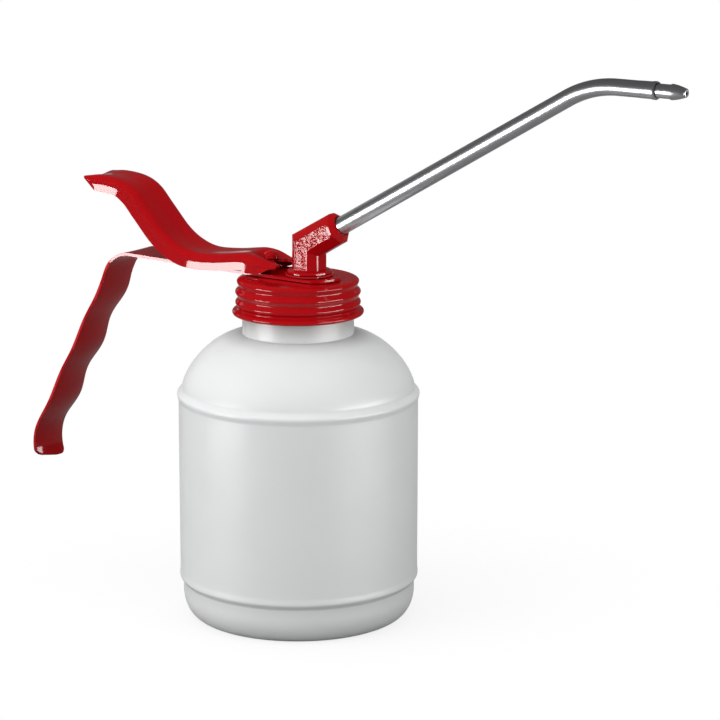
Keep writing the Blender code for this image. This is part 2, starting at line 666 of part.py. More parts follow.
def spout_stations():
    """Centre, outer radius and inner radius along the spout tube."""
    corner = Vector((ELBOW_X, 0.0, ELBOW_CORNER_Z))
    along = Vector((math.cos(SPOUT_ANGLE), 0.0, math.sin(SPOUT_ANGLE)))
    reach = SPOUT_BEND_RADIUS * math.tan(SPOUT_ANGLE / 2)
    length = SPOUT_TOP_RISE / math.sin(SPOUT_ANGLE) - reach
    start = ARM_LENGTH - SPOUT_SOCKET_DEPTH + SEAT_GAP
    stations = [(corner + along * travel, SPOUT_ROOT_RADIUS) for travel in (start, ARM_LENGTH)]
    bend_start = corner + along * length
    centre = bend_start + Vector((math.sin(SPOUT_ANGLE), 0.0, -math.cos(SPOUT_ANGLE))) * SPOUT_BEND_RADIUS
    steps = 8
    for step in range(steps + 1):
        angle = SPOUT_ANGLE * (1 - step / steps)
        point = centre + Vector((-math.sin(angle), 0.0, math.cos(angle))) * SPOUT_BEND_RADIUS
        radius = SPOUT_BEND_START_RADIUS + (SPOUT_TIP_RADIUS - SPOUT_BEND_START_RADIUS) * step / steps
        stations.append((point, radius))
    level = stations[-1][0]
    forward = Vector((1.0, 0.0, 0.0))
    swage = level + forward * (SPOUT_LEVEL_LENGTH - SWAGE_LENGTH)
    mouth = level + forward * SPOUT_LEVEL_LENGTH
    hollow = [(point, radius, radius - SPOUT_WALL) for point, radius in stations]
    step_back = swage - forward * SWAGE_WALL
    hollow.append((step_back, SPOUT_TIP_RADIUS, SPOUT_TIP_RADIUS - SPOUT_WALL))
    hollow.append((swage, SPOUT_TIP_RADIUS + SWAGE_WALL / 4, SPOUT_MOUTH_RADIUS - SWAGE_WALL))
    hollow.append((mouth, SPOUT_MOUTH_RADIUS, SPOUT_MOUTH_RADIUS - SWAGE_WALL))
    return hollow


def spout_shell():
    """The spout tube, hollow from end to end."""
    stations = spout_stations()
    path = [point for point, _, _ in stations]
    shell = Shell()
    outer = []
    inner = []
    for (point, wide, narrow), direction in zip(stations, tangents(path)):
        up = Vector((-direction.z, 0.0, direction.x))
        for radius, rings in ((wide, outer), (narrow, inner)):
            points = []
            for side in range(ROUND_SIDES):
                angle = 2 * math.pi * side / ROUND_SIDES
                sideways = Vector((0.0, radius * math.sin(angle), 0.0))
                points.append(point + up * radius * math.cos(angle) + sideways)
            rings.append(shell.ring(points))
    loop = outer + inner[::-1]
    for low, high in zip(loop, loop[1:] + loop[:1]):
        shell.bridge(low, high)
    return shell


def nozzle_shell():
    """The turned nozzle that the spout's mouth is swaged onto."""
    mouth = spout_stations()[-1][0]
    frame = Matrix.Translation(mouth) @ Matrix.Rotation(math.pi / 2, 4, "Y")
    body = SPOUT_MOUTH_RADIUS - SWAGE_WALL - SEAT_GAP
    root = SEAT_GAP - SWAGE_LENGTH
    tip = NOZZLE_BODY_LENGTH + NOZZLE_CONE_LENGTH
    edge = (body - NOZZLE_TIP_RADIUS) / 4
    outline = [(NOZZLE_BORE_RADIUS, root), (body, root), (body, NOZZLE_BODY_LENGTH)]
    outline += [(NOZZLE_TIP_RADIUS + edge, tip - edge), (NOZZLE_TIP_RADIUS, tip), (NOZZLE_BORE_RADIUS, tip)]
    return lathe(outline, ROUND_SIDES, frame)


def lever_path():
    """Middle line of the lever's folds, from the tongue's end back to the thumb rest."""
    points = []
    valley = LEVER_BASE_Z + LEVER_DISH
    for run, rise in zip(LEVER_RUN_SHARES, LEVER_RISE_SHARES):
        points.append((LEVER_FRONT_X - LEVER_LENGTH * run, 0.0, valley + LEVER_TIP_RISE * rise))
    return smooth_curve(points, 2)


def ease(share):
    """A smooth step from 0 to 1."""
    share = min(max(share, 0.0), 1.0)
    return share * share * (3 - 2 * share)


def lever_section(x):
    """Half width, fold radius, flange depth and dish of the lever at x."""
    wide = ease((LEVER_FRONT_X - x) / TONGUE_LENGTH)
    half = LEVER_END_HALF_WIDTH + (LEVER_WIDTH / 2 - LEVER_END_HALF_WIDTH) * wide
    fold = LEVER_END_FOLD_RADIUS + (LEVER_FOLD_RADIUS - LEVER_END_FOLD_RADIUS) * wide
    deep = ease((LEVER_FRONT_X - x) / TONGUE_LENGTH * 2 - 1)
    depth = fold + (LEVER_FLANGE_DEPTH - LEVER_FOLD_RADIUS) * deep + SEAT_GAP
    near_rod = math.exp(-((x - ROD_X) / TONGUE_LENGTH * 2) ** 4)
    dish = LEVER_DISH * wide + (LEVER_POCKET_DEPTH - LEVER_DISH) * near_rod
    return half, fold, depth, dish


def lever_outline(half, fold, depth, dish, inset):
    """Half of the lever's section, from the middle to the flange's edge, set in by an inset."""
    flat = half - fold
    points = [(0.0, -dish - inset), (flat / 2, -dish * DISH_EDGE_SHARE - inset)]
    bend = fold - inset
    points += arc((flat, -fold), (bend, bend), 90, 0, 3)
    points.append((half - inset, -depth))
    return points


def lever_shell():
    """The lever: a sheet channel, flanges down, dished along its middle."""
    path = lever_path()
    shell = Shell()
    rings = []
    for point, direction in zip(path, tangents(path)):
        half, fold, depth, dish = lever_section(point.x)
        up = Vector((direction.z, 0.0, -direction.x))
        lean = LEVER_TIP_LEAN * ease(1 - (point.x - LEVER_TIP_X) / LEVER_FLANGE_DEPTH)
        outer = lever_outline(half, fold, depth, dish, 0.0)
        inner = lever_outline(half, fold, depth, dish, LEVER_SHEET)
        outline = [(-y, n) for y, n in outer[:0:-1]] + outer + inner[:0:-1] + [(-y, n) for y, n in inner]
        ring = []
        for y, n in outline:
            ring.append(point + up * n + direction * lean * n + Vector((0.0, y, 0.0)))
        rings.append(shell.ring(ring))
    for low, high in zip(rings, rings[1:]):
        shell.bridge(low, high)
    for ring in (rings[0], rings[-1]):
        cap_channel(shell, ring)
    return shell


def cap_channel(shell, ring):
    """Closes a channel's end with quads between its outer and inner outlines."""
    half = len(ring) // 2
    outer = ring[:half]
    inner = ring[half:][::-1]
    for index in range(half - 1):
        shell.faces.append([outer[index], outer[index + 1], inner[index + 1], inner[index]])


def rod_pocket_top():
    """Height of the lever's plate under the plunger's head."""
    path = lever_path()
    nearest = min(path, key=lambda point: abs(point.x - ROD_X))
    return nearest.z - lever_section(ROD_X)[3]


def slot_shell():
    """The slot in the lever that the plunger passes through."""
    outline = []
    front = ROD_X + SLOT_FRONT_REACH - SLOT_HALF_WIDTH
    back = ROD_X - SLOT_BACK_REACH + SLOT_HALF_WIDTH
    for x, start in ((front, -90), (back, 90)):
        outline += arc((x, 0.0), (SLOT_HALF_WIDTH, SLOT_HALF_WIDTH), start, start + 180, 6)
    shell = Shell()
    middle = rod_pocket_top()
    rings = []
    for side in (-1, 1):
        rings.append(shell.ring([(x, y, middle + side * CUT_OVERRUN * 2) for x, y in outline]))
    shell.bridge(rings[0], rings[1])
    shell.close(rings[0])
    shell.close(rings[1])
    return shell


def plunger_shell():
    """The plunger: a rod with a domed head, screwed into the piston."""
    under = rod_pocket_top() + HEAD_PLAY
    edge = HEAD_HEIGHT / 3
    bottom = PISTON_TOP - PISTON_ROD_DEPTH + SEAT_GAP
    profile = [(0.0, bottom), (ROD_RADIUS, bottom), (ROD_RADIUS, under)]
    profile += [(HEAD_RADIUS, under), (HEAD_RADIUS, under + edge)]
    profile += arc((0.0, under + edge), (HEAD_RADIUS, HEAD_HEIGHT - edge), 0, 90, 4)[1:-1]
    profile.append((0.0, under + HEAD_HEIGHT))
    return lathe(profile, ROUND_SIDES, Matrix.Translation((ROD_X, 0.0, 0.0)))


def piston_valve_heights():
    """Bottom and top of the piston's valve seat, the ball's centre and the chamber's top."""
    bottom = PISTON_BOTTOM + SEAT_GAP
    top = bottom + PISTON_SEAT_HEIGHT
    centre = ball_rest(PISTON_BALL_RADIUS, PISTON_SEAT_BORE, top)
    return bottom, top, centre, centre + PISTON_BALL_RADIUS + VALVE_LIFT + SEAT_GAP


def piston_shell():
    """The piston's body, with its seal groove, valve chamber and the rod's hole."""
    radius = BORE_RADIUS - SEAT_GAP
    chamber_top = piston_valve_heights()[3]
    groove_top = PISTON_TOP - PISTON_GROOVE_DROP
    groove_bottom = groove_top - PISTON_GROOVE_HEIGHT
    floor = PISTON_TOP - PISTON_ROD_DEPTH
    profile = [(0.0, floor), (ROD_HOLE_RADIUS, floor), (ROD_HOLE_RADIUS, PISTON_TOP), (radius, PISTON_TOP)]
    profile += [(radius, groove_top), (radius - PISTON_GROOVE_DEPTH, groove_top)]
    profile += [(radius - PISTON_GROOVE_DEPTH, groove_bottom), (radius, groove_bottom)]
    profile += [(radius, PISTON_BOTTOM), (PISTON_VALVE_RADIUS, PISTON_BOTTOM)]
    profile += [(PISTON_VALVE_RADIUS, chamber_top), (0.0, chamber_top)]
    return lathe(profile, ROUND_SIDES, Matrix.Translation((ROD_X, 0.0, 0.0)))


def piston_ports():
    """Two drillings from the piston's valve chamber to its top."""
    bottom = piston_valve_heights()[3] - PISTON_PORT_RADIUS
    shells = []
    for side in (-1, 1):
        frame = Matrix.Translation((ROD_X, side * PISTON_PORT_CIRCLE, 0.0))
        top = PISTON_TOP + CUT_OVERRUN
        outline = [(0.0, bottom), (PISTON_PORT_RADIUS, bottom), (PISTON_PORT_RADIUS, top), (0.0, top)]
        shells.append(lathe(outline, SMALL_SIDES // 2, frame))
    return shells


def foot_valve_heights():
    """Bottom of the foot valve's flange, its ball seat, the ball's centre and the plug's top."""
    bottom = BARREL_BOTTOM - SEAT_GAP - FOOT_FLANGE_HEIGHT
    seat = bottom + FOOT_SEAT_HEIGHT
    return bottom, seat, seat + FOOT_BALL_RISE, bottom + FOOT_BODY_HEIGHT


def foot_valve_shell():
    """The foot valve's body: flange, plug in the barrel, ball chamber and hose barb."""
    bottom, seat, _, top = foot_valve_heights()
    plug = BORE_RADIUS - SEAT_GAP
    outline = [(FOOT_BORE_RADIUS, bottom - FOOT_BARB_LENGTH), (FOOT_BARB_RADIUS, bottom - FOOT_BARB_LENGTH)]
    outline += [(FOOT_BARB_RADIUS, bottom), (BORE_RADIUS + BARREL_WALL, bottom)]
    shelf = BARREL_BOTTOM - SEAT_GAP
    outline += [(BORE_RADIUS + BARREL_WALL, shelf), (plug, shelf), (plug, top)]
    outline += [(FOOT_LIP_RADIUS, top), (FOOT_LIP_RADIUS, top - FOOT_LIP_HEIGHT)]
    outline += [(FOOT_CHAMBER_RADIUS, top - FOOT_LIP_HEIGHT), (FOOT_CHAMBER_RADIUS, seat)]
    outline.append((FOOT_BORE_RADIUS, seat))
    return lathe(outline, ROUND_SIDES, Matrix.Translation((ROD_X, 0.0, 0.0)))


def pump_body(finish):
    """The pump body: flange, barrel, boss for the elbow's shank and the gallery between them."""
    body = piece("pump_body", rod(BODY_RADIUS, BODY_BOTTOM, BODY_TOP, 0.0, BOTTLE_SIDES), finish)
    middle = (BODY_BOTTOM + BODY_TOP) / 2
    boss = HOLE_RADIUS + BOSS_WALL
    boss_bottom = CHAMBER_FLOOR - BOSS_FLOOR
    combine(body, rod(BORE_RADIUS + BARREL_WALL, BARREL_BOTTOM, middle, ROD_X), "UNION")
    combine(body, rod(boss, boss_bottom, middle, ELBOW_X), "UNION")
    rib_bottom = boss_bottom + BOSS_FLOOR / 4
    combine(body, block((ROD_X, -RIB_WIDTH / 2, rib_bottom), (ELBOW_X, RIB_WIDTH / 2, middle)), "UNION")
    frame = Matrix.Translation((ROD_X, 0.0, 0.0))
    well = BODY_TOP - SEAL_WELL_DEPTH
    floor = BARREL_BOTTOM - CUT_OVERRUN
    top = BODY_TOP + CUT_OVERRUN
    bore = [(0.0, floor), (BORE_RADIUS, floor), (BORE_RADIUS, BODY_BOTTOM), (ROD_HOLE_RADIUS, BODY_BOTTOM)]
    bore += [(ROD_HOLE_RADIUS, well), (SEAL_WELL_RADIUS, well), (SEAL_WELL_RADIUS, top), (0.0, top)]
    combine(body, lathe(bore, ROUND_SIDES, frame))
    combine(body, rod(HOLE_RADIUS, CHAMBER_FLOOR, top, ELBOW_X))
    sideways = Matrix.Translation((ELBOW_X, 0.0, GALLERY_Z)) @ Matrix.Rotation(math.pi / 2, 4, "Y")
    far = boss + CUT_OVERRUN
    step = boss - PLUG_LENGTH - SEAT_GAP
    plug = PLUG_RADIUS + SLIDING_GAP
    back = ROD_X - ELBOW_X
    drill = [(0.0, back), (GALLERY_RADIUS, back), (GALLERY_RADIUS, step)]
    drill += [(plug, step), (plug, far), (0.0, far)]
    combine(body, lathe(drill, SMALL_SIDES, sideways))
    return body


def gallery_plug_shell():
    """The small plug that closes the drilled gallery."""
    sideways = Matrix.Translation((ELBOW_X, 0.0, GALLERY_Z)) @ Matrix.Rotation(math.pi / 2, 4, "Y")
    boss = HOLE_RADIUS + BOSS_WALL
    start = boss - PLUG_LENGTH
    outline = [(0.0, start), (PLUG_RADIUS, start), (PLUG_RADIUS, boss), (0.0, boss)]
    return lathe(outline, SMALL_SIDES, sideways)


def spout_elbow(finish):
    """The elbow with its flange, shank, valve well and the spout's socket."""
    elbow = piece("spout_elbow", elbow_shell(), finish)
    frame = Matrix.Translation((ELBOW_X, 0.0, 0.0))
    edge = FLANGE_THICKNESS / 3
    base = [(0.0, SHANK_BOTTOM), (SHANK_RADIUS, SHANK_BOTTOM), (SHANK_RADIUS, FLANGE_BOTTOM)]
    base += [(FLANGE_RADIUS, FLANGE_BOTTOM), (FLANGE_RADIUS, FLANGE_TOP - edge)]
    base += [(FLANGE_RADIUS - edge, FLANGE_TOP), (0.0, FLANGE_TOP)]
    combine(elbow, lathe(base, ROUND_SIDES, frame), "UNION")
    floor = SHANK_BOTTOM - CUT_OVERRUN
    seat = SHANK_BOTTOM + SEAT_WELL_DEPTH
    well_top = SHANK_BOTTOM + VALVE_WELL_HEIGHT
    well = [(0.0, floor), (SEAT_WELL_RADIUS, floor), (SEAT_WELL_RADIUS, seat), (VALVE_WELL_RADIUS, seat)]
    well += [(VALVE_WELL_RADIUS, well_top), (PASSAGE_RADIUS, well_top)]
    well += [(PASSAGE_RADIUS, ELBOW_CORNER_Z), (0.0, ELBOW_CORNER_Z)]
    combine(elbow, lathe(well, ROUND_SIDES, frame))
    socket = ARM_LENGTH - SPOUT_SOCKET_DEPTH
    far = ARM_LENGTH + CUT_OVERRUN
    wide = SPOUT_ROOT_RADIUS + SEAT_GAP
    back = -PASSAGE_RADIUS / 2
    bore = [(0.0, back), (PASSAGE_RADIUS, back), (PASSAGE_RADIUS, socket)]
    bore += [(wide, socket), (wide, far), (0.0, far)]
    combine(elbow, lathe(bore, ROUND_SIDES, arm_frame()))
    return elbow


def lever(finish, pivot):
    """The thumb lever with its slot for the plunger."""
    thing = piece("lever", lever_shell(), finish, pivot)
    combine(thing, slot_shell())
    return thing


def fulcrum_shell():
    """The round bar welded between the lever's flanges, which rocks in the strip's saddle."""
    half = LEVER_WIDTH / 2 - LEVER_SHEET - SEAT_GAP
    frame = Matrix.Translation((FULCRUM_X, 0.0, FULCRUM_Z)) @ Matrix.Rotation(math.pi / 2, 4, "X")
    outline = [(0.0, -half), (FULCRUM_RADIUS, -half), (FULCRUM_RADIUS, half), (0.0, half)]
    return lathe(outline, SMALL_SIDES, frame)


def handle(finish):
    """The grip strip with its holes for the elbow's shank and the plunger."""
    thing = piece("handle", strip_shell(), finish)
    for radius, x in ((HOLE_RADIUS, ELBOW_X), (ROD_HOLE_RADIUS, ROD_X)):
        combine(thing, rod(radius, STRIP_BOTTOM - CUT_OVERRUN, STRIP_TOP + CUT_OVERRUN, x))
    return thing


def screw_cap(finish):
    """The screw cap with its holes for the elbow's shank and the plunger."""
    thing = piece("screw_cap", lathe(screw_cap_profile(), BOTTLE_SIDES), finish)
    for radius, x in ((HOLE_RADIUS, ELBOW_X), (ROD_HOLE_RADIUS, ROD_X)):
        combine(thing, rod(radius, CAP_UNDERSIDE - CUT_OVERRUN, CAP_TOP + CUT_OVERRUN, x))
    return thing


def body_gasket(finish):
    """The flat gasket between the pump body and the cap."""
    top = BODY_GASKET_BOTTOM + BODY_GASKET_THICKNESS
    thing = piece("body_gasket", rod(BODY_RADIUS, BODY_GASKET_BOTTOM, top, 0.0, BOTTLE_SIDES), finish)
    for radius, x in ((HOLE_RADIUS, ELBOW_X), (ROD_HOLE_RADIUS, ROD_X)):
        combine(thing, rod(radius, BODY_GASKET_BOTTOM - CUT_OVERRUN, top + CUT_OVERRUN, x))
    return thing


def strainer(finish):
    """The slotted cup on the end of the dip tube."""
    floor = RECESS_DEPTH + BASE_THICKNESS + STRAINER_FLOOR_GAP
    inner = FOOT_BARB_RADIUS + SEAT_GAP + DIP_TUBE_WALL + SEAT_GAP
    outer = inner + STRAINER_WALL
    top = floor + STRAINER_HEIGHT
    profile = [(0.0, floor), (outer, floor), (outer, top), (inner, top), (inner, floor + STRAINER_WALL)]
    profile.append((0.0, floor + STRAINER_WALL))
    thing = piece("strainer", lathe(profile, ROUND_SIDES, Matrix.Translation((ROD_X, 0.0, 0.0))), finish)
    reach = outer + CUT_OVERRUN
    half = STRAINER_SLOT_WIDTH / 2
    low = floor + STRAINER_WALL
    for slot in range(STRAINER_SLOTS // 2):
        cutter = block((-reach, -half, low), (reach, half, low + STRAINER_SLOT_HEIGHT))
        turn = Matrix.Rotation(2 * math.pi * slot / STRAINER_SLOTS, 4, "Z")
        turn = Matrix.Translation((ROD_X, 0.0, 0.0)) @ turn
        cutter.vertices = [turn @ vertex for vertex in cutter.vertices]
        combine(thing, cutter)
    return thing


def dip_tube_shell():
    """The suction tube from the foot valve's barb to just above the floor."""
    inner = FOOT_BARB_RADIUS + SEAT_GAP
    bottom = RECESS_DEPTH + BASE_THICKNESS + DIP_TUBE_FLOOR_GAP
    top = BARREL_BOTTOM - FOOT_FLANGE_HEIGHT - SEAT_GAP * 2
    return collar(inner, inner + DIP_TUBE_WALL, bottom, top, ROD_X)


def piston_seal_shell():
    """The ring in the piston's groove."""
    top = PISTON_TOP - PISTON_GROOVE_DROP - SLIDING_GAP
    bottom = top - PISTON_GROOVE_HEIGHT + SLIDING_GAP * 2
    groove = BORE_RADIUS - SEAT_GAP - PISTON_GROOVE_DEPTH
    return collar(groove + SLIDING_GAP, BORE_RADIUS - SLIDING_GAP, bottom, top, ROD_X)


def rod_seal_shell():
    """The seal round the rod, in its well under the cap."""
    bottom = BODY_TOP - SEAL_WELL_DEPTH + SLIDING_GAP
    outer = SEAL_WELL_RADIUS - SLIDING_GAP
    return collar(ROD_RADIUS + SLIDING_GAP, outer, bottom, BODY_TOP - SLIDING_GAP, ROD_X)


def outlet_heights():
    """Heights of the outlet seat's top, the ball's centre and the spring's ends."""
    seat_top = SHANK_BOTTOM + SEAT_WELL_DEPTH - SEAT_GAP
    centre = ball_rest(OUTLET_BALL_RADIUS, OUTLET_SEAT_BORE, seat_top)
    spring_top = SHANK_BOTTOM + VALVE_WELL_HEIGHT - SEAT_GAP
    return seat_top, centre, centre + OUTLET_BALL_RADIUS + SEAT_GAP, spring_top


def clear_scene():
    """Removes everything that is in the scene."""
    for thing in list(bpy.data.objects):
        bpy.data.objects.remove(thing, do_unlink=True)


def build():
    """Makes every piece of the oil can."""
    clear_scene()
    red = material("red_lacquer", (0.58, 0.01, 0.015), 0.22, 0.0)
    milky = material("milky_polyethylene", (0.78, 0.8, 0.8), 0.4, 0.0)
    steel = material("satin_zinc_plate", (0.62, 0.62, 0.63), 0.3, 1.0)
    zinc = material("zinc_casting", (0.5, 0.5, 0.52), 0.5, 1.0)
    brass = material("brass", (0.7, 0.5, 0.2), 0.35, 1.0)
    rubber = material("black_rubber", (0.02, 0.02, 0.02), 0.7, 0.0)
    clear = material("clear_hose", (0.75, 0.75, 0.7), 0.3, 0.0)
    rod_foot = (ROD_X, 0.0, PISTON_TOP)
    pivot = (FULCRUM_X, 0.0, FULCRUM_Z)

    piece("bottle", lathe(bottle_profile(), BOTTLE_SIDES), milky)
    top = RING_GASKET_BOTTOM + RING_GASKET_THICKNESS
    edge = CAP_THREAD_RADIUS - RING_GASKET_INSET
    ring = collar(MOUTH_RADIUS, edge, RING_GASKET_BOTTOM, top, 0.0, BOTTLE_SIDES)
    piece("cap_gasket", ring, rubber)
    screw_cap(red)
    handle(red)
    washer_top = WASHER_BOTTOM + WASHER_THICKNESS
    piece("clamp_washer", collar(HOLE_RADIUS, WASHER_RADIUS, WASHER_BOTTOM, washer_top, ELBOW_X), red)
    spout_elbow(red)
    piece("spout_tube", spout_shell(), steel)
    piece("spout_nozzle", nozzle_shell(), steel)

    lever(red, pivot)
    piece("fulcrum_bar", fulcrum_shell(), steel, pivot)
    piece("plunger_rod", plunger_shell(), red, rod_foot)
    piston = piece("piston", piston_shell(), brass, rod_foot)
    for port in piston_ports():
        combine(piston, port)
    piece("piston_seal", piston_seal_shell(), rubber, rod_foot)
    bottom, top, centre, _ = piston_valve_heights()
    seat = collar(PISTON_SEAT_BORE, PISTON_VALVE_RADIUS - SEAT_GAP, bottom, top, ROD_X)
    piece("piston_valve_seat", seat, brass, rod_foot)
    piece("piston_ball", ball(PISTON_BALL_RADIUS, centre, ROD_X), steel, (ROD_X, 0.0, centre))

    pump_body(zinc)
    body_gasket(rubber)
    piece("rod_seal", rod_seal_shell(), rubber)
    piece("gallery_plug", gallery_plug_shell(), brass)
    spring_bottom = PISTON_TOP + SEAT_GAP
    spring_top = BODY_BOTTOM - SEAT_GAP
    spring = coil(RETURN_WIRE_RADIUS, RETURN_COIL_RADIUS, spring_bottom, spring_top, RETURN_TURNS, ROD_X)
    piece("return_spring", spring, steel)

    piece("foot_valve_body", foot_valve_shell(), brass)
    centre = foot_valve_heights()[2]
    piece("foot_ball", ball(FOOT_BALL_RADIUS, centre, ROD_X), steel, (ROD_X, 0.0, centre))
    piece("dip_tube", dip_tube_shell(), clear)
    strainer(brass)

    seat_top, centre, spring_bottom, spring_top = outlet_heights()
    seat_radius = SEAT_WELL_RADIUS - SEAT_GAP
    seat = collar(OUTLET_SEAT_BORE, seat_radius, SHANK_BOTTOM + SEAT_GAP, seat_top, ELBOW_X)
    piece("outlet_seat", seat, brass)
    piece("outlet_ball", ball(OUTLET_BALL_RADIUS, centre, ELBOW_X), steel, (ELBOW_X, 0.0, centre))
    spring = coil(OUTLET_WIRE_RADIUS, OUTLET_COIL_RADIUS, spring_bottom, spring_top, OUTLET_TURNS, ELBOW_X)
    piece("outlet_spring", spring, steel)


build()
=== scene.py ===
"""Pump oil can, dressed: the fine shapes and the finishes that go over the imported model.

Shapes are written in millimetres, in the model's own frame: the origin is the middle of the bottle's base,
+Z is up, the spout points to +X and the grip hangs at -X. mesh_of turns them to metres.
"""
import json
import math

import bmesh
import bpy
from mathutils import Matrix, Vector


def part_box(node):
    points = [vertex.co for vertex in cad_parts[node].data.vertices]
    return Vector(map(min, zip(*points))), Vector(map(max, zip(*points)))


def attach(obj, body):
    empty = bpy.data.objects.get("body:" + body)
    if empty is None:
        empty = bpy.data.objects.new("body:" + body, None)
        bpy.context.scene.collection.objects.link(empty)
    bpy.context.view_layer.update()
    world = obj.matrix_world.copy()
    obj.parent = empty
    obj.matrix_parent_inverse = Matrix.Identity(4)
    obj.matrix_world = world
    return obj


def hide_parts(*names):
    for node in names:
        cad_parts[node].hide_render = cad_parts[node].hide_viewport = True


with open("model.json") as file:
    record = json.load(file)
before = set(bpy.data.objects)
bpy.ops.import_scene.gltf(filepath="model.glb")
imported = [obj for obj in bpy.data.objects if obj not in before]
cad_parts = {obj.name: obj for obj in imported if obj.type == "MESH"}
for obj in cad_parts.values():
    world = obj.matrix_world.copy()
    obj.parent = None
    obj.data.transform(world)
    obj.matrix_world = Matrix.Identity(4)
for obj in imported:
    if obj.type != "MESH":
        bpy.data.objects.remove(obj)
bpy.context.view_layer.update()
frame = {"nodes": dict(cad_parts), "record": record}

MM = 0.001
ROUND_SIDES = 48

# Bottle; a profile is a half section, as (radius, height)
BOTTLE_RADIUS = 43.5
BOTTLE_WALL = 1.2
BASE_PROFILE = ((0.0, 0.25), (1.5, 0.2), (4.0, 0.0), (8.6, 0.0), (9.3, 0.12), (11.2, 1.0), (12.0, 1.1),
                (25.2, 1.1), (26.0, 1.0), (27.4, 0.12), (28.2, 0.0))
FOOT_THICKNESS = 1.6
FLOOR_PROFILE = ((28.6, FOOT_THICKNESS), (25.4, 2.7), (0.0, 2.7))
FOOT_CORNER = (6.2, 9.6)
SKIRT_RADIUS = 42.36
# A bead is its height, its reach up and down, and its crest's radius
LOWER_BEAD = (15.4, 2.4, 43.7)
UPPER_BEAD = (83.0, 2.66, 44.03)
DOME_RADIUS = 42.17
DOME_START = 85.66
DOME_TOP = 105.1
DOME_WIDTH_POWER = 1.13
DOME_HEIGHT_POWER = 1.38
NECK_RADIUS = 20.2
NECK_STEP = (113.3, 113.6)
MOUTH_RADIUS = 18.8
LIP_TOP = 122.6
LIP_OUTER_ROUND = 0.8
LIP_INNER_ROUND = 0.5
BOTTLE_SIDES = 144

# Thread on the neck and in the cap: where it starts, its length and the rows over which it fades
THREAD_PITCH = 3.7
THREAD_DEPTH = 0.6
THREAD_ROWS = 21
NECK_THREAD = (114.2, 7.2, 5)
NECK_THREAD_RADIUS = 20.82
CAP_THREAD = (114.9, 7.9, 4)
CAP_THREAD_RADIUS = 21.2

# Cap
CAP_TOP = 125.3
CAP_UNDERSIDE = 124.8
CAP_INNER_ROUND = 1.7
CAP_BEAD_RADIUS = 22.28
CAP_BEAD_SWELL = 0.4
CAP_BEAD_CREST = 124.2
CAP_BEAD_PITCH = 3.85
CAP_BEAD_COUNT = 2.5
CAP_BEAD_STEPS = 48
CAP_SHOULDER_INSET = 0.6
CAP_TOP_RADIUS = 19.9
CAP_TOP_EDGE = 4.0
RIM_PROFILE = ((21.9, 114.55), (22.1, 114.35), (22.55, 114.15), (23.1, 113.95), (23.5, 113.7), (23.75, 113.4),
               (23.8, 113.1), (23.75, 112.75), (23.55, 112.4), (23.2, 112.2), (22.75, 112.25),
               (22.55, 112.55), (22.35, 113.2), (22.0, 114.0))

# Grip strip
STRIP_BOTTOM = 125.6
STRIP_THICKNESS = 1.1
STRIP_TOP = STRIP_BOTTOM + STRIP_THICKNESS
STRIP_HALF_WIDTH = 8.425
STRIP_WIDTH_SHARES = (-1.0, -0.94, -0.8, -0.6, -0.35, 0.0, 0.35, 0.6, 0.8, 0.94, 1.0)
STRIP_MIDDLE = len(STRIP_WIDTH_SHARES) // 2
STRIP_END_X = 8.6
STRIP_END_STEPS = 16
STRIP_LEVEL_X = -22.0
STRIP_FRONT_ROWS_X = (0.0, -4.0, -8.0, -12.0, -16.0, -20.0, STRIP_LEVEL_X, -26.0, -30.0, -34.0)
STRIP_BACK_ROWS_X = (-44.0, -48.0, -52.0, -56.0, -60.0, -64.0, -68.0)
STRIP_CORNER_X = -79.0
STRIP_RISE = 1.0
STRIP_BEND_RADIUS = 11.8
STRIP_BEND_STEPS = 12
STRIP_DROP_ANGLE = math.radians(61)
STRIP_DROP_LENGTH = 74.5
STRIP_DROP_STEPS = 72
GRIP_WAVE_LENGTH = 25.0
GRIP_WAVE_DEPTH = 1.15
GRIP_EDGE_WAVE = 0.5
GRIP_EDGE_WAVE_START = 8.0
GRIP_CURL_RADIUS = 17.5
GRIP_CURL_LENGTH = 11.5
GRIP_CURL_STEPS = 18
GRIP_DISH = 0.9
GRIP_DISH_START_X = -69.0
GRIP_DISH_LENGTH = 28.0
# How much further the curl runs at each share of the strip's half width
GRIP_END = ((-1.0, 0.0), (-0.94, 1.0), (-0.8, 2.1), (-0.6, 2.8), (-0.25, 3.4), (0.3, 4.3), (0.6, 4.5),
            (0.8, 4.3), (0.94, 3.5), (1.0, 2.6))
SADDLE_DEPTH = 0.5
SADDLE_REACH = 2.0
SADDLE_STEPS = 12

# Clamp washer and elbow
ELBOW_X = 5.0
ELBOW_CORNER_Z = 137.9
WASHER_RADIUS = 8.7
WASHER_HEIGHTS = (127.0, 127.5)
WASHER_BEVEL = 0.15
FLANGE_RADIUS = 8.0
FLANGE_HEIGHTS = (127.8, 128.8)
FLANGE_ROUND = 0.5
STEM_DEPTH = 11.4
STEM_WIDTH = 10.8
STEM_CHAMFER = 2.7
STEM_SINK = 0.4
CASTING_ROUND = 0.5
ARM_END_CHAMFER = 3.6
ARM_END_BEVEL = 2.0
ARM_LENGTH = 16.5
SHANK_RADIUS = 5.0
SHANK_BOTTOM = 117.6
SHANK_BEVEL = 0.4
SOCKET_FLOOR = 4.0
SOCKET_PLAY = 0.3
PANEL_BORDER = 0.55
PANEL_DEPTH = 0.22
PANEL_GRAIN = 1.9
PANEL_RELIEF = 0.7

# Spout and nozzle
SPOUT_ANGLE = math.radians(29.8)
SPOUT_START = 8.0
SPOUT_ROOT_RADIUS = 3.25
SPOUT_BEND_START_RADIUS = 3.0
SPOUT_TIP_RADIUS = 2.85
SPOUT_WALL = 0.6
SPOUT_TOP_RISE = 65.87
SPOUT_BEND_RADIUS = 38.0
SPOUT_STRAIGHT_STEPS = 24
SPOUT_BEND_STEPS = 20
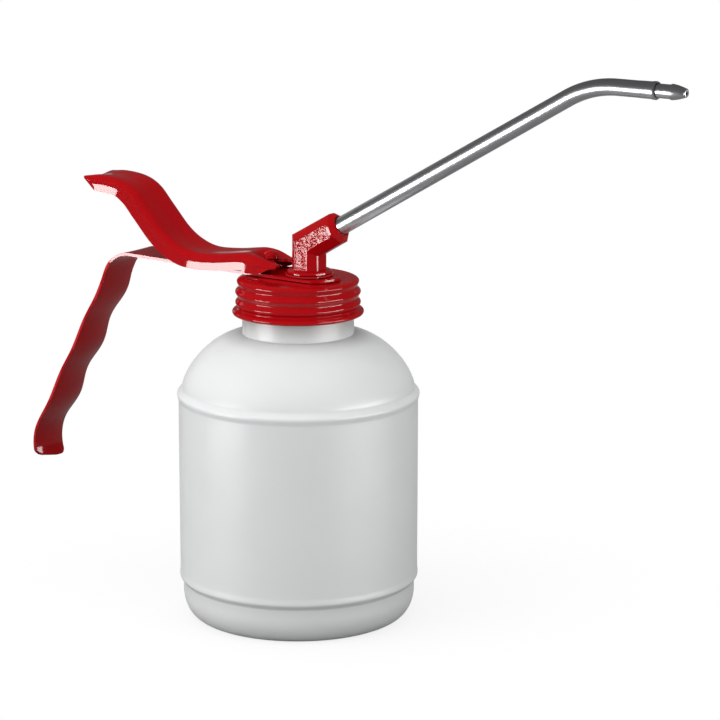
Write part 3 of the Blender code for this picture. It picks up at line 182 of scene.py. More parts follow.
# The level end, as (distance along it, radius, radius of the bore), with the swaged ring at the mouth
SPOUT_LEVEL_END = ((4.25, 2.85, 2.25), (8.1, 2.85, 2.25), (8.5, 2.88, 2.7), (10.5, 2.91, 2.7),
                   (12.8, 2.93, 2.7), (13.5, 3.05, 2.7), (14.0, 3.1, 2.7), (14.7, 3.1, 2.7), (15.0, 2.9, 2.7))
# Heights run outwards from the tube's mouth
NOZZLE_PROFILE = ((0.6, -6.2), (2.2, -6.2), (2.4, -6.0), (2.4, 5.0), (2.42, 5.1), (2.68, 5.3), (2.68, 5.8),
                  (2.45, 7.2), (2.1, 8.6), (1.72, 9.9), (1.6, 10.1), (1.55, 10.5), (1.4, 10.72),
                  (1.2, 10.8), (0.8, 10.8), (0.6, 10.5))
NOZZLE_SIDES = 40

# Lever
LEVER_HALF_WIDTH = 9.7
LEVER_SHEET = 1.0
LEVER_FOLD_RADIUS = 3.1
LEVER_FLANGE_DEPTH = 5.9
LEVER_FRONT_X = -4.6
LEVER_LENGTH = 87.6
LEVER_TIP_RISE = 24.3
LEVER_VALLEY_Z = STRIP_TOP + 4.2
LEVER_TIP_LEAN = 0.8
LEVER_DISH = 0.3
LEVER_DISH_SHARES = (0.0, 0.17, 0.34, 0.5, 0.66, 0.82)
LEVER_FLANGE_SHARES = (0.1, 0.5, 1.0)
LEVER_TIP_DISH = 0.4
LEVER_TIP_DISH_SPREAD = 3
LEVER_TIP_LENGTH = 4.0
LEVER_TIP_HALF_WIDTH = 9.5
LEVER_TIP_FOLD_RADIUS = 1.2
LEVER_NOSE_LENGTH = 9.0
LEVER_NOSE_HALF_WIDTH = 8.0
LEVER_NOSE_FOLD_RADIUS = 1.6
# Height of the flanges' lower edge, by X
LEVER_NOSE_EDGE = ((-18.0, 126.95), (-15.5, 126.5), (-13.5, 126.3), (-9.8, 126.2), (-8.5, 127.0),
                   (-6.8, 128.3), (-4.0, 129.5))
LEVER_POCKET_START_X = -19.0
LEVER_POCKET_LENGTH = 4.0
# How far each flange's edge stands out, by X
LEVER_SPLAY = ((-91.6, -0.4), (-91.0, 0.0), (-74.5, 0.0), (-71.0, 0.7), (-45.0, 0.7), (-41.5, 0.0),
               (-18.0, 0.0), (-13.0, 0.55), (-9.0, 0.8))
LEVER_RUN_SHARES = (0.0, 0.044, 0.077, 0.111, 0.153, 0.195, 0.306, 0.417, 0.5, 0.577,
                    0.664, 0.735, 0.81, 0.914, 1.0)
LEVER_RISE_SHARES = (-0.041, 0.0, 0.041, 0.076, 0.093, 0.084, 0.029, 0.012, 0.088, 0.258,
                     0.583, 0.846, 0.973, 1.014, 0.982)
LEVER_STEPS_BETWEEN = 7
SLOT_HALF_WIDTH = 1.7
SLOT_REACH = 2.3
SLOT_CUT_REACH = 6.0
# Half width of the fork's opening, by X
LEVER_FORK = ((-9.8, 1.7), (-9.0, 2.2), (-7.6, 3.6), (-6.2, 4.4), (-2.0, 4.8))
FULCRUM_X = -38.0
FULCRUM_Z = 127.63
FULCRUM_RADIUS = 0.85
FULCRUM_SIDES = 24
# The fillet of weld, as (how far it stands out, distance from the bar's end)
WELD_FILLET = ((0.35, 0.0), (0.12, 0.3), (0.0, 0.7))
WELD_GAP = 0.05

# Plunger
ROD_X = -12.0
ROD_RADIUS = 1.3
ROD_BOTTOM = 102.2
ROD_BEVEL = 0.3
HEAD_RADIUS = 2.7
HEAD_HEIGHT = 2.7
HEAD_EDGE = 0.15
HEAD_FILLET = 0.1
HEAD_PLAY = 0.6
HEAD_SIDES = 40
HOLE_GAP = 0.3
HOLE_HEIGHTS = (120.0, 130.0)

# Stage; the ways are directions from the can
TABLE_RADIUS = 420.0
TABLE_BOTTOM = -6.0
TABLE_TOP = -0.02
TABLE_GLOSS_SHARE = 0.06
BACKDROP_WAY = (-0.571, 0.786, -0.24)
ROOM_LIGHT_WAY = (-0.25, -0.64, 0.73)
# The point that every lamp faces, in metres
LAMP_AIM = (0.0, 0.0, 0.1)
# Each lamp's angle round the can in degrees, height, (width, length) in metres, watts, and where it shows
LAMPS = {
    "left_soft_box": (-118, 0.5, (0.9, 0.9), 6.3, "matt"),
    "right_soft_box": (0, 0.7, (0.9, 0.9), 2.4, "matt"),
    "backdrop_glow": (112, 0.1, (1.4, 0.7), 4.5, "matt"),
    "right_glow": (12, 0.05, (0.5, 0.5), 3.2, "matt"),
    "back_gloss_card": (161, 0.38, (0.65, 0.35), 0.4, "gloss"),
    "left_gloss_card": (-122, -0.1, (0.6, 0.28), 12.5, "gloss"),
    "right_gloss_card": (8, 0.06, (1.0, 0.3), 14.0, "gloss"),
}
# The camera, solved from the bottle's outline in the photograph; lengths in metres, small turns in radians
CAMERA_DISTANCE = 1.045
CAMERA_AIM_HEIGHT = 0.075
CAMERA_LIFT = math.radians(13.94)
CAMERA_TURN = math.radians(36)
CAMERA_PAN = -0.0215
CAMERA_TILT = 0.0183
CAMERA_ROLL = 0.004
CAMERA_FOCUS_PIXELS = 2871
PICTURE_PIXELS = 720
SENSOR_WIDTH = 36.0


class Skin:
    """Vertices and faces of one closed surface, in millimetres."""

    def __init__(self):
        self.vertices = []
        self.faces = []

    def ring(self, points):
        """Adds points and gives their numbers."""
        first = len(self.vertices)
        self.vertices.extend(Vector(point) for point in points)
        return list(range(first, len(self.vertices)))

    def bridge(self, low, high):
        """Joins two rings with faces; either may be a single point."""
        count = max(len(low), len(high))
        for index in range(count):
            after = (index + 1) % count
            corners = [low[index % len(low)], low[after % len(low)]]
            corners += [high[after % len(high)], high[index % len(high)]]
            self.faces.append(list(dict.fromkeys(corners)))

    def loft(self, rings, closed=False):
        """Joins rings of points in a row, and closes the ends or joins the last to the first."""
        rings = [self.ring(points) for points in rings]
        for low, high in zip(rings, rings[1:]):
            self.bridge(low, high)
        if closed:
            self.bridge(rings[-1], rings[0])
            return
        for end in (rings[0], rings[-1]):
            if len(end) > 2:
                self.faces.append(list(end))


def arc(centre, reach, start, stop, steps):
    """Points of an ellipse's arc, as (across, up); the angles are in degrees."""
    points = []
    for step in range(steps + 1):
        angle = math.radians(start + (stop - start) * step / steps)
        points.append((centre[0] + reach[0] * math.cos(angle), centre[1] + reach[1] * math.sin(angle)))
    return points


def ease(share):
    """A smooth step from 0 to 1."""
    share = min(max(share, 0.0), 1.0)
    return share * share * (3 - 2 * share)


def between(table, x):
    """A value read off a table of (x, value) pairs, in a straight line between two of them."""
    for (x0, v0), (x1, v1) in zip(table, table[1:]):
        if x <= x1:
            return v0 + (v1 - v0) * max(x - x0, 0.0) / (x1 - x0)
    return table[-1][1]


def turned(profile, sides, place=None):
    """A skin turned about the Z axis of a place from (radius, height) or (radius, height, thread share)."""
    place = place or Matrix.Identity(4)
    skin = Skin()
    rings = []
    for radius, height, *share in profile:
        if radius == 0.0:
            rings.append([place @ Vector((0.0, 0.0, height))])
            continue
        points = []
        for side in range(sides):
            angle = 2 * math.pi * side / sides
            reach = radius
            if share:
                reach += share[0] * THREAD_DEPTH / 2 * math.cos(2 * math.pi * height / THREAD_PITCH - angle)
            points.append(place @ Vector((reach * math.cos(angle), reach * math.sin(angle), height)))
        rings.append(points)
    skin.loft(rings, closed=profile[0][0] != 0.0)
    return skin


def cylinder_skin(radius, low, high, place=None, sides=ROUND_SIDES):
    """A plain cylinder along the Z axis of a place."""
    return turned([(0.0, low), (radius, low), (radius, high), (0.0, high)], sides, place)


def smooth_curve(points, steps):
    """A Catmull-Rom curve through points, with the same number of steps between each two."""
    points = [Vector(point) for point in points]
    padded = [points[0] * 2 - points[1]] + points + [points[-1] * 2 - points[-2]]
    curve = []
    for before, start, stop, after in zip(padded, padded[1:], padded[2:], padded[3:]):
        for step in range(steps):
            t = step / steps
            bend = (before * 2 - start * 5 + stop * 4 - after) * t ** 2
            twist = (start * 3 - before - stop * 3 + after) * t ** 3
            curve.append((start * 2 + (stop - before) * t + bend + twist) / 2)
    curve.append(points[-1])
    return curve


def tangents(path):
    """Unit directions along a path."""
    directions = []
    for index in range(len(path)):
        ahead = path[min(index + 1, len(path) - 1)]
        behind = path[max(index - 1, 0)]
        directions.append((ahead - behind).normalized())
    return directions


def mesh_of(name, skin):
    """A mesh in metres, with its faces turned outwards."""
    mesh = bpy.data.meshes.new(name)
    mesh.from_pydata([vertex * MM for vertex in skin.vertices], [], skin.faces)
    form = bmesh.new()
    form.from_mesh(mesh)
    bmesh.ops.recalc_face_normals(form, faces=form.faces)
    form.to_mesh(mesh)
    form.free()
    return mesh


def joined(thing, skin, operation):
    """Cuts a skin out of a thing with DIFFERENCE, or adds it with UNION, and keeps the result as its mesh."""
    tool = bpy.data.objects.new(thing.name + "_tool", mesh_of(thing.name + "_tool", skin))
    bpy.context.collection.objects.link(tool)
    step = thing.modifiers.new("Cut", "BOOLEAN")
    step.operation = operation
    step.solver = "EXACT"
    step.object = tool
    graph = bpy.context.evaluated_depsgraph_get()
    result = bpy.data.meshes.new_from_object(thing.evaluated_get(graph))
    thing.modifiers.clear()
    thing.data = result
    bpy.data.objects.remove(tool, do_unlink=True)


def dressed(name, skin, finish, body, stands_for, cuts=(), adds=(), edge=0.0, sharp=35):
    """One piece: its mesh, the cuts and additions to it, its rounded edges, its finish and its body."""
    thing = bpy.data.objects.new(name, mesh_of(name, skin))
    bpy.context.collection.objects.link(thing)
    for extra in adds:
        joined(thing, extra, "UNION")
    for cut in cuts:
        joined(thing, cut, "DIFFERENCE")
    thing.data.materials.clear()
    thing.data.materials.append(finish)
    thing.data.shade_smooth()
    if edge:
        step = thing.modifiers.new("Rounded edges", "BEVEL")
        step.width = edge * MM
        step.segments = 3
        step.limit_method = "ANGLE"
        step.angle_limit = math.radians(sharp)
        step.harden_normals = True
    else:
        thing.data.set_sharp_from_angle(angle=math.radians(sharp))
    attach(thing, body)
    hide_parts(*stands_for)
    return thing


# Finishes

def colour(code):
    """An sRGB hex colour as linear red, green, blue and 1."""
    shares = [int(code[at:at + 2], 16) / 255 for at in (0, 2, 4)]
    return tuple(s / 12.92 if s <= 0.04045 else ((s + 0.055) / 1.055) ** 2.4 for s in shares) + (1.0,)


def add(tree, kind, inputs=None, **settings):
    """Adds a node with its settings, and sets or links its inputs."""
    node = tree.nodes.new(kind)
    for key, value in settings.items():
        setattr(node, key, value)
    for key, value in (inputs or {}).items():
        if isinstance(value, bpy.types.NodeSocket):
            tree.links.new(value, node.inputs[key])
        else:
            node.inputs[key].default_value = value
    return node


def scale_of(grain):
    """The texture scale whose grain is this many millimetres."""
    return 1 / (grain * MM)


def new_finish(name):
    """An empty material, its node tree and the object's own coordinates in metres."""
    finish = bpy.data.materials.new(name)
    finish.use_nodes = True
    tree = finish.node_tree
    tree.nodes.clear()
    return finish, tree, add(tree, "ShaderNodeTexCoord").outputs["Object"]


def blown_polyethylene():
    """Natural high-density polyethylene, blow moulded: milky, waxy and faintly uneven. Light soaks in."""
    finish, tree, where = new_finish("blown_polyethylene")
    cloud = add(tree, "ShaderNodeTexNoise", {"Vector": where, "Scale": scale_of(28), "Detail": 3.0})
    milk = add(tree, "ShaderNodeMix", {
        "Factor": cloud.outputs["Fac"], "A": colour("D8DADA"), "B": colour("D1D3D3")}, data_type="RGBA")
    # Painted shade: above 103 mm the neck is painted greyer, in place of the shade under the cap and the dark
    # pump seen through its wall
    height = add(tree, "ShaderNodeSeparateXYZ", {"Vector": where})
    neck = add(tree, "ShaderNodeMapRange", {
        "Value": height.outputs["Z"], "From Min": 0.103, "From Max": 0.109})
    tone = add(tree, "ShaderNodeMix", {
        "Factor": neck.outputs["Result"], "A": milk.outputs["Result"], "B": colour("B8B8B7")},
        data_type="RGBA")
    # The mould's blasted skin is drawn at 0.5 mm, coarser than it is, so that it shows. It lies over slow
    # waves where the wall cooled unevenly
    grain = add(tree, "ShaderNodeTexNoise", {"Vector": where, "Scale": scale_of(0.5), "Detail": 2.0})
    waves = add(tree, "ShaderNodeTexNoise", {"Vector": where, "Scale": scale_of(16), "Detail": 1.0})
    sheen = add(tree, "ShaderNodeMapRange", {"Value": cloud.outputs["Fac"], "To Min": 0.34, "To Max": 0.44})
    slow = add(tree, "ShaderNodeBump", {
        "Height": waves.outputs["Fac"], "Strength": 0.25, "Distance": 0.6 * MM})
    fine = add(tree, "ShaderNodeBump", {
        "Height": grain.outputs["Fac"], "Strength": 0.2, "Distance": 0.04 * MM,
        "Normal": slow.outputs["Normal"]})
    shader = add(tree, "ShaderNodeBsdfPrincipled", {
        "Base Color": tone.outputs["Result"], "Roughness": sheen.outputs["Result"], "IOR": 1.54,
        "Specular IOR Level": 0.4, "Subsurface Weight": 0.4, "Subsurface Radius": (1.0, 0.97, 0.94),
        "Subsurface Scale": 0.003, "Normal": fine.outputs["Normal"]})
    add(tree, "ShaderNodeOutputMaterial", {"Surface": shader.outputs["BSDF"]})
    return finish


def red_stove_lacquer(name="red_stove_lacquer", grain=0.9, relief=0.007):
    """Sprayed and stoved alkyd lacquer on pressed steel and zinc: a deep gloss red with a faint orange peel.

    The grain is the width of the peel's bumps and the relief their height, in millimetres.
    """
    finish, tree, where = new_finish(name)
    cloud = add(tree, "ShaderNodeTexNoise", {"Vector": where, "Scale": scale_of(9), "Detail": 4.0})
    tone = add(tree, "ShaderNodeMix", {
        "Factor": cloud.outputs["Fac"], "A": colour("A5070F"), "B": colour("98050B")}, data_type="RGBA")
    # The coat thins on outer edges and shows lighter there
    crest = add(tree, "ShaderNodeNewGeometry")
    thin = add(tree, "ShaderNodeMapRange", {
        "Value": crest.outputs["Pointiness"], "From Min": 0.54, "From Max": 0.62, "To Max": 0.5})
    worn = add(tree, "ShaderNodeMix", {
        "Factor": thin.outputs["Result"], "A": tone.outputs["Result"], "B": colour("C62F37")},
        data_type="RGBA")
    peel = add(tree, "ShaderNodeTexNoise", {"Vector": where, "Scale": scale_of(grain), "Detail": 2.0})
    bump = add(tree, "ShaderNodeBump", {
        "Height": peel.outputs["Fac"], "Strength": 1.0, "Distance": relief * MM})
    gloss = add(tree, "ShaderNodeMapRange", {"Value": cloud.outputs["Fac"], "To Min": 0.07, "To Max": 0.11})
    shader = add(tree, "ShaderNodeBsdfPrincipled", {
        "Base Color": worn.outputs["Result"], "Roughness": gloss.outputs["Result"], "IOR": 1.5,
        "Specular IOR Level": 0.32, "Normal": bump.outputs["Normal"]})
    add(tree, "ShaderNodeOutputMaterial", {"Surface": shader.outputs["BSDF"]})
    return finish


def satin_zinc_plate():
    """Bright zinc plate on drawn steel tube: a satin grey metal with fine draw lines along its length."""
    finish, tree, where = new_finish("satin_zinc_plate")
    # The lines are drawn 0.35 mm wide, coarser than they are, so that they show, and 30 times as long
    streak = add(tree, "ShaderNodeMapping", {
        "Vector": where, "Rotation": (0.0, -SPOUT_ANGLE, 0.0), "Scale": (30.0, 1.0, 1.0)},
        vector_type="TEXTURE")
    lines = add(tree, "ShaderNodeTexNoise", {
        "Vector": streak.outputs["Vector"], "Scale": scale_of(0.35), "Detail": 2.0})
    cloud = add(tree, "ShaderNodeTexNoise", {"Vector": where, "Scale": scale_of(6), "Detail": 3.0})
    tone = add(tree, "ShaderNodeMix", {
        "Factor": cloud.outputs["Fac"], "A": colour("C9CACC"), "B": colour("BBBCBE")}, data_type="RGBA")
    rough = add(tree, "ShaderNodeMapRange", {"Value": lines.outputs["Fac"], "To Min": 0.27, "To Max": 0.33})
    bump = add(tree, "ShaderNodeBump", {
        "Height": lines.outputs["Fac"], "Strength": 0.05, "Distance": 0.01 * MM})
    shader = add(tree, "ShaderNodeBsdfPrincipled", {
        "Base Color": tone.outputs["Result"], "Roughness": rough.outputs["Result"], "Metallic": 1.0,
        "Normal": bump.outputs["Normal"]})
    add(tree, "ShaderNodeOutputMaterial", {"Surface": shader.outputs["BSDF"]})
    return finish


def zinc_casting():
    """Bare pressure-cast zinc alloy: dull grey, with a fine granular skin."""
    finish, tree, where = new_finish("zinc_casting")
    grain = add(tree, "ShaderNodeTexNoise", {"Vector": where, "Scale": scale_of(0.7), "Detail": 4.0})
    tone = add(tree, "ShaderNodeMix", {
        "Factor": grain.outputs["Fac"], "A": colour("A6A7AA"), "B": colour("8E9093")}, data_type="RGBA")
    rough = add(tree, "ShaderNodeMapRange", {"Value": grain.outputs["Fac"], "To Min": 0.42, "To Max": 0.6})
    bump = add(tree, "ShaderNodeBump", {
        "Height": grain.outputs["Fac"], "Strength": 0.3, "Distance": 0.06 * MM})
    shader = add(tree, "ShaderNodeBsdfPrincipled", {
        "Base Color": tone.outputs["Result"], "Roughness": rough.outputs["Result"], "Metallic": 1.0,
        "Normal": bump.outputs["Normal"]})
    add(tree, "ShaderNodeOutputMaterial", {"Surface": shader.outputs["BSDF"]})
    return finish


def turned_brass():
    """Free-cutting brass from the lathe: yellow metal with fine rings left by the tool."""
    finish, tree, where = new_finish("turned_brass")
    # The rings are drawn 0.7 mm apart, coarser than they are, so that they show
    rings = add(tree, "ShaderNodeTexWave", {
        "Vector": where, "Scale": scale_of(0.35) / (2 * math.pi), "Distortion": 0.6}, bands_direction="Z")
    cloud = add(tree, "ShaderNodeTexNoise", {"Vector": where, "Scale": scale_of(3), "Detail": 3.0})
    tone = add(tree, "ShaderNodeMix", {
        "Factor": cloud.outputs["Fac"], "A": colour("D8B45E"), "B": colour("C19A48")}, data_type="RGBA")
    rough = add(tree, "ShaderNodeMapRange", {"Value": cloud.outputs["Fac"], "To Min": 0.24, "To Max": 0.38})
    bump = add(tree, "ShaderNodeBump", {
        "Height": rings.outputs["Fac"], "Strength": 0.2, "Distance": 0.02 * MM})
    shader = add(tree, "ShaderNodeBsdfPrincipled", {
        "Base Color": tone.outputs["Result"], "Roughness": rough.outputs["Result"], "Metallic": 1.0,
        "Normal": bump.outputs["Normal"]})
    add(tree, "ShaderNodeOutputMaterial", {"Surface": shader.outputs["BSDF"]})
    return finish


def nitrile_rubber():
    """Oil-resistant nitrile rubber, moulded: near black and matt, with a little bloom."""
    finish, tree, where = new_finish("nitrile_rubber")
    bloom = add(tree, "ShaderNodeTexNoise", {"Vector": where, "Scale": scale_of(2), "Detail": 5.0})
    tone = add(tree, "ShaderNodeMix", {
        "Factor": bloom.outputs["Fac"], "A": colour("26272A"), "B": colour("323336")}, data_type="RGBA")
    rough = add(tree, "ShaderNodeMapRange", {"Value": bloom.outputs["Fac"], "To Min": 0.62, "To Max": 0.8})
    bump = add(tree, "ShaderNodeBump", {
        "Height": bloom.outputs["Fac"], "Strength": 0.2, "Distance": 0.05 * MM})
    shader = add(tree, "ShaderNodeBsdfPrincipled", {
        "Base Color": tone.outputs["Result"], "Roughness": rough.outputs["Result"], "IOR": 1.52,
        "Normal": bump.outputs["Normal"]})
    add(tree, "ShaderNodeOutputMaterial", {"Surface": shader.outputs["BSDF"]})
    return finish


def clear_vinyl_hose():
    """Plasticised vinyl hose, extruded: clear, with a slight yellow cast and a cloudy haze."""
    finish, tree, where = new_finish("clear_vinyl_hose")
    haze = add(tree, "ShaderNodeTexNoise", {"Vector": where, "Scale": scale_of(2.5), "Detail": 3.0})
    tone = add(tree, "ShaderNodeMix", {
        "Factor": haze.outputs["Fac"], "A": colour("F0EFE6"), "B": colour("E4E2D4")}, data_type="RGBA")
    rough = add(tree, "ShaderNodeMapRange", {"Value": haze.outputs["Fac"], "To Min": 0.12, "To Max": 0.26})
    shader = add(tree, "ShaderNodeBsdfPrincipled", {
        "Base Color": tone.outputs["Result"], "Roughness": rough.outputs["Result"], "IOR": 1.53,
        "Transmission Weight": 0.7})
    add(tree, "ShaderNodeOutputMaterial", {"Surface": shader.outputs["BSDF"]})
    return finish


# Bottle and cap

def dome_points(wide, narrow, start, steps):
    """Points of the bottle's shoulder from its foot to the neck."""
    points = []
    for step in range(1, steps + 1):
        angle = math.pi / 2 * step / steps
        radius = narrow + (wide - narrow) * max(math.cos(angle), 0.0) ** DOME_WIDTH_POWER
        points.append((radius, start + (DOME_TOP - start) * math.sin(angle) ** DOME_HEIGHT_POWER))
    return points


def bead(height, reach, crest, below, above, steps=8):
    """Points of a bead that runs round the bottle between two radii."""
    points = []
    for step in range(-steps, steps + 1):
        share = (1 + math.cos(math.pi * step / steps)) / 2
        side = below if step < 0 else above
        points.append((side + (crest - side) * share, height + reach * step / steps))
    return points


def thread(radius, side, rows, foot, length, fade):
    """A thread that fades in and out, as (radius, height, share of its depth)."""
    points = []
    for row in rows:
        share = min(row / fade, (THREAD_ROWS - row) / fade, 1.0)
        reach = radius + side * (1 - share) * THREAD_DEPTH / 2
        points.append((reach, foot + length * row / THREAD_ROWS, share))
    return points


def bottle_skin():
    """The bottle's wall, up its outside, over the lip and down its inside."""
    foot = SKIRT_RADIUS - FOOT_CORNER[0]
    root = NECK_THREAD_RADIUS - THREAD_DEPTH / 2
    outer = list(BASE_PROFILE)
    outer += arc((foot, FOOT_CORNER[1]), FOOT_CORNER, -90, 0, 14)
    outer += bead(*LOWER_BEAD, SKIRT_RADIUS, BOTTLE_RADIUS)
    outer += bead(*UPPER_BEAD, BOTTLE_RADIUS, DOME_RADIUS)
    outer += dome_points(DOME_RADIUS, NECK_RADIUS, DOME_START, 24)
    outer += [(NECK_RADIUS, NECK_STEP[0]), (root, NECK_STEP[1])]
    outer += thread(NECK_THREAD_RADIUS, -1, range(THREAD_ROWS + 1), *NECK_THREAD)
    turn = LIP_OUTER_ROUND
    outer += arc((root - turn, LIP_TOP - turn), (turn, turn), 0, 90, 4)
    turn = LIP_INNER_ROUND
    inner = arc((MOUTH_RADIUS + turn, LIP_TOP - turn), (turn, turn), 90, 180, 3)
    inner += dome_points(DOME_RADIUS - BOTTLE_WALL, MOUTH_RADIUS, UPPER_BEAD[0] + BOTTLE_WALL, 16)[::-1]
    wall = BOTTLE_RADIUS - BOTTLE_WALL
    corner = FOOT_CORNER[1] + BOTTLE_WALL
    inner += [(wall, UPPER_BEAD[0] - UPPER_BEAD[1]), (wall, LOWER_BEAD[0] + LOWER_BEAD[1] + BOTTLE_WALL)]
    inner += [(SKIRT_RADIUS - BOTTLE_WALL, LOWER_BEAD[0])]
    inner += arc((foot - BOTTLE_WALL, corner), (FOOT_CORNER[0], corner - FOOT_THICKNESS), 0, -90, 10)
    return turned(outer + inner + list(FLOOR_PROFILE), BOTTLE_SIDES)


def cap_skin():
    """The screw cap: a flat top, beads rolled round the skirt, a curled rim and the thread inside."""
    shoulder = CAP_BEAD_RADIUS + CAP_BEAD_SWELL - CAP_SHOULDER_INSET
    outer = [(0.0, CAP_TOP), (CAP_TOP_RADIUS - CAP_TOP_EDGE, CAP_TOP)]
    rounding = (shoulder - CAP_TOP_RADIUS, CAP_TOP - CAP_BEAD_CREST)
    outer += arc((CAP_TOP_RADIUS, CAP_BEAD_CREST), rounding, 90, 0, 8)
    for step in range(1, CAP_BEAD_STEPS):
        drop = step * CAP_BEAD_COUNT * CAP_BEAD_PITCH / CAP_BEAD_STEPS
        swell = CAP_BEAD_SWELL * math.cos(2 * math.pi * drop / CAP_BEAD_PITCH)
        inset = CAP_SHOULDER_INSET * (1 - ease(drop / CAP_BEAD_PITCH))
        outer.append((CAP_BEAD_RADIUS + swell - inset, CAP_BEAD_CREST - drop))
    wide = CAP_THREAD_RADIUS + THREAD_DEPTH / 2
    inner = [(wide, CAP_THREAD[0])] + thread(CAP_THREAD_RADIUS, 1, range(1, THREAD_ROWS), *CAP_THREAD)
    turn = CAP_INNER_ROUND
    inner += arc((wide - turn, CAP_UNDERSIDE - turn), (turn, turn), 0, 90, 4)
    inner.append((0.0, CAP_UNDERSIDE))
    return turned(outer + list(RIM_PROFILE) + inner, BOTTLE_SIDES)


# Grip strip

def strip_rise(x):
    """How far the strip has climbed at X from its level part to the bend."""
    share = (STRIP_LEVEL_X - x) / (STRIP_LEVEL_X - STRIP_CORNER_X)
    return STRIP_RISE * min(max(share, 0.0), 1.0)


def across_strip(point, wide):
    """A row of points across the strip."""
    return [point + Vector((0.0, wide * share, 0.0)) for share in STRIP_WIDTH_SHARES]


def strip_rows():
    """The strip's middle surface as rows across it, from its round end to the curl."""
    middle = STRIP_BOTTOM + STRIP_THICKNESS / 2
    half = STRIP_HALF_WIDTH
    rows = []
    for step in range(1, STRIP_END_STEPS + 1):
        angle = math.pi / 2 * step / STRIP_END_STEPS
        point = Vector((STRIP_END_X + half * math.cos(angle), 0.0, middle))
        rows.append(across_strip(point, half * math.sin(angle)))
    turn = STRIP_DROP_ANGLE
    bend_start = STRIP_CORNER_X + STRIP_BEND_RADIUS * math.tan(turn / 2)
    saddle = [FULCRUM_X + SADDLE_REACH * (1 - 2 * step / SADDLE_STEPS) for step in range(SADDLE_STEPS + 1)]
    for x in [*STRIP_FRONT_ROWS_X, *saddle, *STRIP_BACK_ROWS_X, bend_start]:
        dip = 0.0
        if abs(x - FULCRUM_X) < SADDLE_REACH:
            dip = SADDLE_DEPTH * math.cos(math.pi / 2 * (x - FULCRUM_X) / SADDLE_REACH) ** 2
        rows.append(across_strip(Vector((x, 0.0, middle + strip_rise(x) - dip)), half))
    centre_z = middle + strip_rise(bend_start) - STRIP_BEND_RADIUS
    for step in range(1, STRIP_BEND_STEPS + 1):
        angle = turn * step / STRIP_BEND_STEPS
        x = bend_start - STRIP_BEND_RADIUS * math.sin(angle)
        rows.append(across_strip(Vector((x, 0.0, centre_z + STRIP_BEND_RADIUS * math.cos(angle))), half))
    along = Vector((-math.cos(turn), 0.0, -math.sin(turn)))
    inward = Vector((math.sin(turn), 0.0, -math.cos(turn)))
    foot = rows[-1][STRIP_MIDDLE].copy()
    for step in range(1, STRIP_DROP_STEPS + 1):
        travel = STRIP_DROP_LENGTH * step / STRIP_DROP_STEPS
        swing = (1 - math.cos(2 * math.pi * travel / GRIP_WAVE_LENGTH)) / 2
        wide = half + GRIP_EDGE_WAVE * (2 * swing - 1) * ease(travel / GRIP_EDGE_WAVE_START)
        rows.append(across_strip(foot + along * travel + inward * GRIP_WAVE_DEPTH * swing, wide))
    hub = foot + along * STRIP_DROP_LENGTH + inward * (GRIP_WAVE_DEPTH * swing + GRIP_CURL_RADIUS)
    for step in range(1, GRIP_CURL_STEPS + 1):
        row = []
        for share in STRIP_WIDTH_SHARES:
            travel = (GRIP_CURL_LENGTH + between(GRIP_END, share)) * step / GRIP_CURL_STEPS
            angle = travel / GRIP_CURL_RADIUS
            point = hub + (along * math.sin(angle) - inward * math.cos(angle)) * GRIP_CURL_RADIUS
            row.append(point + Vector((0.0, wide * share, 0.0)))
        rows.append(row)
    return rows


def strip_skin():
    """The grip: a flat steel bar bent over, waved for the fingers and dished along its length."""
    rows = strip_rows()
    there = range(len(STRIP_WIDTH_SHARES))
    rings = []
    for row, direction in zip(rows, tangents([row[STRIP_MIDDLE] for row in rows])):
        outward = Vector((direction.z, 0.0, -direction.x))
        dish = GRIP_DISH * ease((GRIP_DISH_START_X - row[STRIP_MIDDLE].x) / GRIP_DISH_LENGTH)
        lean = dish * STRIP_THICKNESS / STRIP_HALF_WIDTH
        ring = []
        for side, order in ((1, there), (-1, reversed(there))):
            for at in order:
                share = STRIP_WIDTH_SHARES[at]
                rise = side * STRIP_THICKNESS / 2 - dish * (1 - share ** 2)
                ring.append(row[at] + outward * rise - Vector((0.0, side * lean * share, 0.0)))
        rings.append(ring)
    skin = Skin()
    skin.loft(rings)
    return skin


# Elbow and spout

def eight_sided(half_depth, half_width, chamfer):
    """The casting's section with its eight corners rounded, as (across, sideways)."""
    a, b = half_depth - chamfer, half_width - chamfer
    right = [Vector((a, -half_width)), Vector((half_depth, -b))]
    right += [Vector((half_depth, b)), Vector((a, half_width))]
    corners = right + [-corner for corner in right]
    points = []
    for before, corner, after in zip(corners[-1:] + corners[:-1], corners, corners[1:] + corners[:1]):
        back, on = (before - corner).normalized(), (after - corner).normalized()
        for step in range(4):
            share = step / 3
            points.append(corner + (back * (1 - share) ** 2 + on * share ** 2) * CASTING_ROUND)
    return points


def arm_axes():
    """The elbow's corner, the direction along its arm and spout, and the one square to it, upwards."""
    along = Vector((math.cos(SPOUT_ANGLE), 0.0, math.sin(SPOUT_ANGLE)))
    return Vector((ELBOW_X, 0.0, ELBOW_CORNER_Z)), along, Vector((-along.z, 0.0, along.x))


def mitre_travel(across):
    """How far along the arm the mitre lies, at this distance below the arm's middle line."""
    return across * (1 - math.sin(SPOUT_ANGLE)) / math.cos(SPOUT_ANGLE)


